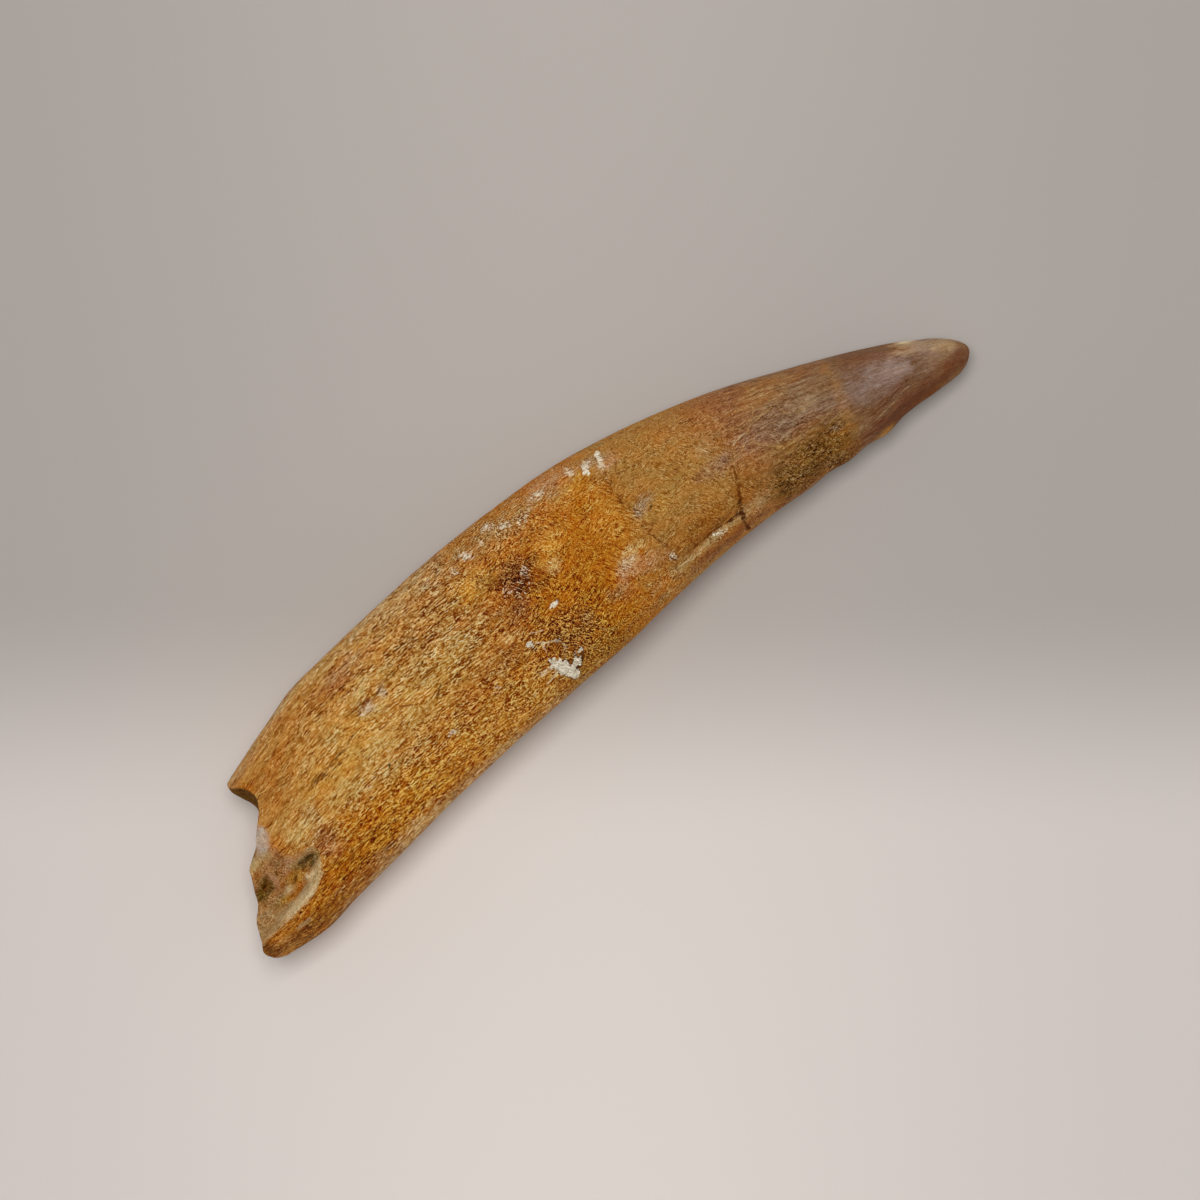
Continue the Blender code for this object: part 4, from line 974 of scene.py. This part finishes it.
def fossil_finish():
    """Mineralised dentine: fibres on the root, fine grain on the neck, gloss on the enamel."""
    material = bpy.data.materials.new("fossil_dentine_and_enamel")
    material.use_nodes = True
    tree = material.node_tree
    shader = tree.nodes["Principled BSDF"]

    def known(name, output="Fac"):
        return add_node(tree, "Attribute", attribute_name=name).outputs[output]

    def math_of(operation, first, second=0.5, third=0.5):
        inputs = {0: first, 1: second, 2: third}
        return add_node(tree, "Math", inputs, operation=operation).outputs[0]

    def times(first, second):
        return math_of("MULTIPLY", first, second)

    def times_plus(first, second, added):
        return math_of("MULTIPLY_ADD", first, second, added)

    def centred(value):
        return math_of("SUBTRACT", value, 0.5)

    def step_of(value, low, high, to_low=0.0, to_high=1.0):
        inputs = {"Value": value, "From Min": low, "From Max": high,
                  "To Min": to_low, "To Max": to_high}
        return add_node(tree, "MapRange", inputs, interpolation_type="SMOOTHSTEP").outputs[0]

    def blend_of(share, first, second):
        return add_node(tree, "Mix", {0: share, 2: first, 3: second}, data_type="FLOAT").outputs[0]

    def mix_of(share, first, second, blend_type="MIX"):
        inputs = {0: share, 6: first, 7: second}
        return add_node(tree, "Mix", inputs, data_type="RGBA", blend_type=blend_type).outputs[2]

    grain = known("grain", "Vector")

    def noise_of(along, across, seed, detail=3.0, roughness=0.6, distortion=0.0, lean=0.0):
        """Noise whose lumps number so many a millimetre along the tooth and across it."""
        place = grain
        if lean:
            place = add_node(tree, "VectorRotate", {"Vector": place, "Angle": math.radians(lean)},
                             rotation_type="Z_AXIS").outputs[0]
        inputs = {0: place, 1: (along, across, across), 2: (seed, 2.0 * seed, 3.0 * seed)}
        place = add_node(tree, "VectorMath", inputs, operation="MULTIPLY_ADD").outputs[0]
        inputs = {"Vector": place, "Scale": 1.0, "Detail": detail, "Roughness": roughness,
                  "Distortion": distortion}
        return add_node(tree, "TexNoise", inputs).outputs[0]

    fibrous = known("fibrous")
    enamel = known("enamel")
    broken = known("broken")
    chalky = known("chalky")
    rugged = known("rugged")
    dusted = known("dusted")

    # The texture of each zone, dark at 0 and pale at 1: fibres on the root, a swirled grain
    # where it turns into the neck, soft streaks on the enamel, and a finer grit on them all.
    fibres = noise_of(0.32, 2.1, 1, distortion=0.25)
    mottle = noise_of(0.9, 1.3, 31, detail=5.0, roughness=0.65, distortion=0.7)
    slanted = noise_of(1.2, 3.4, 37, detail=1.5, distortion=0.8, lean=58.0)
    level = noise_of(1.3, 3.2, 39, detail=1.5, distortion=1.2, lean=-14.0)
    turns = step_of(noise_of(0.22, 0.22, 40, detail=1.0), 0.42, 0.58)
    swirls = blend_of(turns, slanted, level)
    streaks = noise_of(0.5, 2.8, 41, distortion=0.4)
    coarse = blend_of(fibrous, blend_of(0.6, mottle, swirls), fibres)
    coarse = blend_of(enamel, coarse, blend_of(0.6, mottle, streaks))
    grit = noise_of(4.4, 4.6, 29, detail=0.0)
    pores = noise_of(7.0, 7.4, 33, detail=0.0)
    threads = noise_of(1.35, 5.4, 7, detail=0.0, distortion=0.7, lean=5.0)
    hairs = noise_of(4.0, 7.8, 11, detail=0.0, lean=3.0)
    leaning = noise_of(1.5, 5.4, 45, detail=0.0, distortion=0.5, lean=58.0)
    lying = noise_of(1.6, 5.2, 47, detail=0.0, distortion=0.5, lean=-14.0)
    grit = blend_of(0.7, grit, blend_of(turns, leaning, lying))
    fine = blend_of(0.42, blend_of(fibrous, grit, threads), blend_of(fibrous, pores, hairs))
    coarse = times(centred(coarse), known("coarse"))
    fine = times(centred(fine), known("fine"))
    patches = noise_of(0.5, 0.9, 71, detail=2.0, distortion=0.5)
    fine = times(fine, step_of(patches, 0.3, 0.7, 0.6, 1.4))
    value = times_plus(coarse, COARSE_SHARE, times_plus(fine, FINE_SHARE, 0.0))
    bands = noise_of(0.12, 0.8, 73, detail=2.0, distortion=0.3)
    bands = times(centred(bands), fibrous)
    value = times_plus(bands, BAND_SHARE, value)
    value = times_plus(known("fluted"), FLUTE_SHARE, value)

    # Splits between the root's fibres, pale flakes of its cement, and pits.
    splits = noise_of(0.2, 1.7, 13, roughness=0.55, distortion=0.2)
    splits = step_of(math_of("ABSOLUTE", centred(splits)), 0.006, 0.03, 1.0, 0.0)
    places = step_of(noise_of(0.3, 0.9, 19, detail=2.0), 0.4, 0.52)
    splits = times(times(splits, places), fibrous)
    value = times_plus(splits, SPLIT_SHARE, value)
    flakes = step_of(noise_of(0.5, 1.9, 23, detail=4.0, roughness=0.65), 0.56, 0.64)
    value = times_plus(times(flakes, fibrous), FLAKE_SHARE, value)
    sponge = step_of(noise_of(2.2, 2.6, 43, roughness=0.7), 0.46, 0.58)
    sponge = times(sponge, rugged)
    value = times_plus(sponge, SPONGE_SHARE, value)
    value = math_of("MINIMUM", math_of("MAXIMUM", value, DARKEST), PALEST)

    # Thicker mineral is deeper in colour, as in stained glass, which is what a gamma does.
    depth_of_stain = math_of("POWER", 2.0, times(value, -1.0))
    inputs = {"Color": known("skin_colour", "Color"), "Gamma": depth_of_stain}
    base = add_node(tree, "Gamma", inputs).outputs[0]
    hue = noise_of(0.35, 0.6, 51, detail=4.0)
    hue = step_of(blend_of(times(enamel, 0.6), hue, streaks), 0.34, 0.66)
    hue = mix_of(hue, (1.05, 0.97, 0.86, 1.0), (0.95, 1.02, 1.08, 1.0))
    base = mix_of(1.0, base, hue, "MULTIPLY")

    # Cracks and veins, their width and strength uneven along their length.
    line_parts = add_node(tree, "SeparateXYZ", {0: known("lines", "Vector")})
    wobble = times_plus(centred(mottle), 0.5, line_parts.outputs[0])
    wobble = times_plus(centred(grit), 0.2, wobble)
    apart = math_of("DIVIDE", math_of("ABSOLUTE", wobble), line_parts.outputs[2])
    line = step_of(apart, 0.5, 1.7, 1.0, 0.0)
    line = times(line, step_of(line_parts.outputs[1], 0.3, 0.5, 1.0, 0.0))
    worn = step_of(noise_of(0.9, 0.9, 53), 0.36, 0.58, 0.1, 1.0)
    line = times(line, times(worn, known("line_colour", "Alpha")))
    base = mix_of(line, base, known("line_colour", "Color"))

    # Spots, calcite crusts and dust have ragged edges.
    ragged = centred(blend_of(0.5, grit, pores))
    ragged = times_plus(ragged, 1.7, known("spot_share"))
    spot = times(step_of(ragged, 0.4, 0.62), step_of(known("spot_share"), 0.02, 0.12))
    crumb = step_of(times_plus(swirls, 0.5, times(grit, 0.5)), 0.4, 0.58)
    crumb = mix_of(crumb, (0.62, 0.58, 0.5, 1.0), (1.06, 1.06, 1.06, 1.0))
    spot_tone = mix_of(1.0, known("spot_colour", "Color"), crumb, "MULTIPLY")
    base = mix_of(times(spot, 0.92), base, spot_tone)
    dust = noise_of(1.4, 2.2, 61, roughness=0.72, distortion=0.8, lean=35.0)
    dust = blend_of(times_plus(rugged, 0.5, 0.4), dust, grit)
    dust = times_plus(centred(dust), 2.0, dusted)
    dust = times(step_of(dust, 0.74, 0.98), 0.8)
    dust_tone = mix_of(1.0, (0.72, 0.6, 0.44, 1.0), crumb, "MULTIPLY")
    base = mix_of(dust, base, dust_tone)
    tree.links.new(base, shader.inputs["Base Color"])

    # Enamel shines softly, bone is dull, calcite and stone are matt.
    gloss = step_of(mottle, 0.3, 0.7, 0.4, 0.55)
    dull = step_of(threads, 0.3, 0.7, 0.6, 0.8)
    shine = blend_of(enamel, dull, gloss)
    matt = math_of("MAXIMUM", math_of("MAXIMUM", broken, chalky), dust)
    shine = blend_of(matt, shine, 0.9)
    tree.links.new(shine, shader.inputs["Roughness"])

    # Relief too fine for the mesh.
    height = times_plus(line, -0.5, value)
    height = times_plus(dust, 0.6, height)
    relief = add_node(tree, "Bump", {"Height": height, "Distance": RELIEF_DISTANCE, "Strength": 0.9})
    tree.links.new(relief.outputs[0], shader.inputs["Normal"])
    shader.inputs["Specular IOR Level"].default_value = 0.05
    shader.inputs["Coat Roughness"].default_value = 0.32
    tree.links.new(times(enamel, 0.2), shader.inputs["Coat Weight"])
    return material


rings = FACE_RINGS + BODY_RINGS
net = bmesh.new()
net.loops.layers.uv.new("OFBake")
bmesh.ops.create_uvsphere(net, u_segments=AROUND, v_segments=rings, radius=1.0, calc_uvs=True)
start = np.array([vertex.co[:] for vertex in net.verts])
ring = np.rint(np.arccos(np.clip(start[:, 2], -1.0, 1.0)) / math.pi * rings)
step = np.rint(np.arctan2(-start[:, 1], start[:, 0]) * AROUND / math.tau) % AROUND
turn = step * math.tau / AROUND
angle = turn + UPPER_SHARE * (np.cos(turn) - 1.0)
points = tooth_point(ring, angle)
low = points.min(axis=1)
high = points.max(axis=1)
room = (np.array(cad_high) - np.array(cad_low)) / MM
placed = (points.T - low) * (room / (high - low)) * MM + np.array(cad_low)
for vertex, point in zip(net.verts, placed):
    vertex.co = point
tooth_mesh = bpy.data.meshes.new("tooth")
net.to_mesh(tooth_mesh)
net.free()
tooth_mesh.shade_smooth()
paint_tooth(tooth_mesh, points, ring, angle)
tooth_mesh.materials.append(fossil_finish())
tooth = bpy.data.objects.new("tooth", tooth_mesh)
bpy.context.collection.objects.link(tooth)
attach(tooth, "root")
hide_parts("fossil_tooth")

# ----------------------------------------------------------------------------------------
# The floor: a sheet of pale matt studio paper, with painted shade that makes it a little darker towards
# the far side and at the sides.
FLOOR_SIZE = 3.0
VIEW_TURN = math.radians(40.5)
NEAR_COLOUR = (215, 207, 201)
# FAR_SHADED_COLOUR is the paper under painted shade: the far side of the view is darkened in paint
FAR_SHADED_COLOUR = (176, 169, 163)
NEAR_EDGE = -0.034          # where the paper starts to darken, measured up the view
MIDDLE_SHADE = 1.02
SIDE_SHADE = 0.87           # how much light is left at the sides
SIDE_DISTANCE = 0.085

floor_net = bmesh.new()
bmesh.ops.create_grid(floor_net, x_segments=2, y_segments=2, size=FLOOR_SIZE / 2.0)
floor_mesh = bpy.data.meshes.new("floor")
floor_net.to_mesh(floor_mesh)
floor_net.free()
paper = bpy.data.materials.new("studio_paper")
paper.use_nodes = True
paper_tree = paper.node_tree
paper_place = add_node(paper_tree, "TexCoord").outputs["Object"]
paper_up = (math.sin(VIEW_TURN), math.cos(VIEW_TURN), 0.0)
# painted shade: the paper darkens towards the far side of the view
far_side = add_node(paper_tree, "VectorMath", {0: paper_place, 1: paper_up}, operation="DOT_PRODUCT")
far_share = {"Value": far_side.outputs["Value"], "From Min": NEAR_EDGE, "From Max": 0.0}
far_share = add_node(paper_tree, "MapRange", far_share, interpolation_type="SMOOTHSTEP")
paper_mix = add_node(paper_tree, "Mix", data_type="RGBA")
paper_tree.links.new(far_share.outputs[0], paper_mix.inputs[0])
paper_mix.inputs[6].default_value = (*linear_light(NEAR_COLOUR), 1.0)
paper_mix.inputs[7].default_value = (*linear_light(FAR_SHADED_COLOUR), 1.0)
paper_right = (math.cos(VIEW_TURN), -math.sin(VIEW_TURN), 0.0)
aside = add_node(paper_tree, "VectorMath", {0: paper_place, 1: paper_right}, operation="DOT_PRODUCT")
aside = add_node(paper_tree, "Math", {0: aside.outputs["Value"]}, operation="ABSOLUTE")
# painted shade: the paper darkens towards its sides and is a little brighter in the middle
side_painted_shade = {"Value": aside.outputs[0], "From Min": 0.0, "From Max": SIDE_DISTANCE,
        "To Min": MIDDLE_SHADE, "To Max": SIDE_SHADE}
side_painted_shade = add_node(paper_tree, "MapRange", side_painted_shade, interpolation_type="SMOOTHSTEP")
paper_with_painted_shade = add_node(paper_tree, "VectorMath", {0: paper_mix.outputs[2], 1: side_painted_shade.outputs[0]},
                      operation="MULTIPLY")
paper_shader = paper_tree.nodes["Principled BSDF"]
paper_tree.links.new(paper_with_painted_shade.outputs[0], paper_shader.inputs["Base Color"])
paper_shader.inputs["Roughness"].default_value = 0.9
paper_shader.inputs["Specular IOR Level"].default_value = 0.1
floor_mesh.materials.append(paper)
floor = bpy.data.objects.new("floor", floor_mesh)
bpy.context.collection.objects.link(floor)

# ----------------------------------------------------------------------------------------
# Light: one soft lamp overhead, and a pale surround that is brightest low down, so that the
# sides are lit as well as the top.
LOW_GLOW = 2.8
HIGH_GLOW = 0.25
GLOW_TOP = 0.42             # the height, as a share of straight up, where the low glow ends
LAMP_HEIGHT = 1.6
LAMP_OFFSET = (0.05, 0.2)
LAMP_SIZE = 0.7
LAMP_POWER = 18.5

world = bpy.data.worlds.new("studio")
world.use_nodes = True
world_tree = world.node_tree
surround = world_tree.nodes["Background"]
surround.inputs["Color"].default_value = (1.0, 0.99, 0.975, 1.0)
looking = add_node(world_tree, "TexCoord").outputs["Generated"]
looking_up = add_node(world_tree, "SeparateXYZ", {0: looking}).outputs[2]
glow = {"Value": looking_up, "From Min": 0.0, "From Max": GLOW_TOP,
        "To Min": LOW_GLOW, "To Max": HIGH_GLOW}
glow = add_node(world_tree, "MapRange", glow, interpolation_type="SMOOTHSTEP")
world_tree.links.new(glow.outputs[0], surround.inputs["Strength"])
bpy.context.scene.world = world
lamp_data = bpy.data.lights.new("soft_lamp", "AREA")
lamp_data.size = LAMP_SIZE
lamp_data.energy = LAMP_POWER
lamp = bpy.data.objects.new("soft_lamp", lamp_data)
lamp.location = (*LAMP_OFFSET, LAMP_HEIGHT)
lamp.rotation_euler = (-lamp.location).to_track_quat("-Z", "Y").to_euler()
bpy.context.collection.objects.link(lamp)

# ----------------------------------------------------------------------------------------
# The camera looks straight down, turned so that the tooth rises to the right.
VIEW_WIDTH = 0.1549
VIEW_CENTRE = (0.00235, -0.00445)
EDGE_HEIGHT = 0.0094
LENS = 200.0
SENSOR = 36.0

camera_data = bpy.data.cameras.new("camera")
camera_data.lens = LENS
camera_data.sensor_width = SENSOR
camera_data.clip_start = 0.05
camera_data.clip_end = 20.0
camera = bpy.data.objects.new("camera", camera_data)
camera.location = (*VIEW_CENTRE, EDGE_HEIGHT + VIEW_WIDTH * LENS / SENSOR)
camera.rotation_euler = (0.0, 0.0, -VIEW_TURN)
bpy.context.collection.objects.link(camera)
bpy.context.scene.camera = camera
bpy.context.scene.view_settings.view_transform = "Standard"
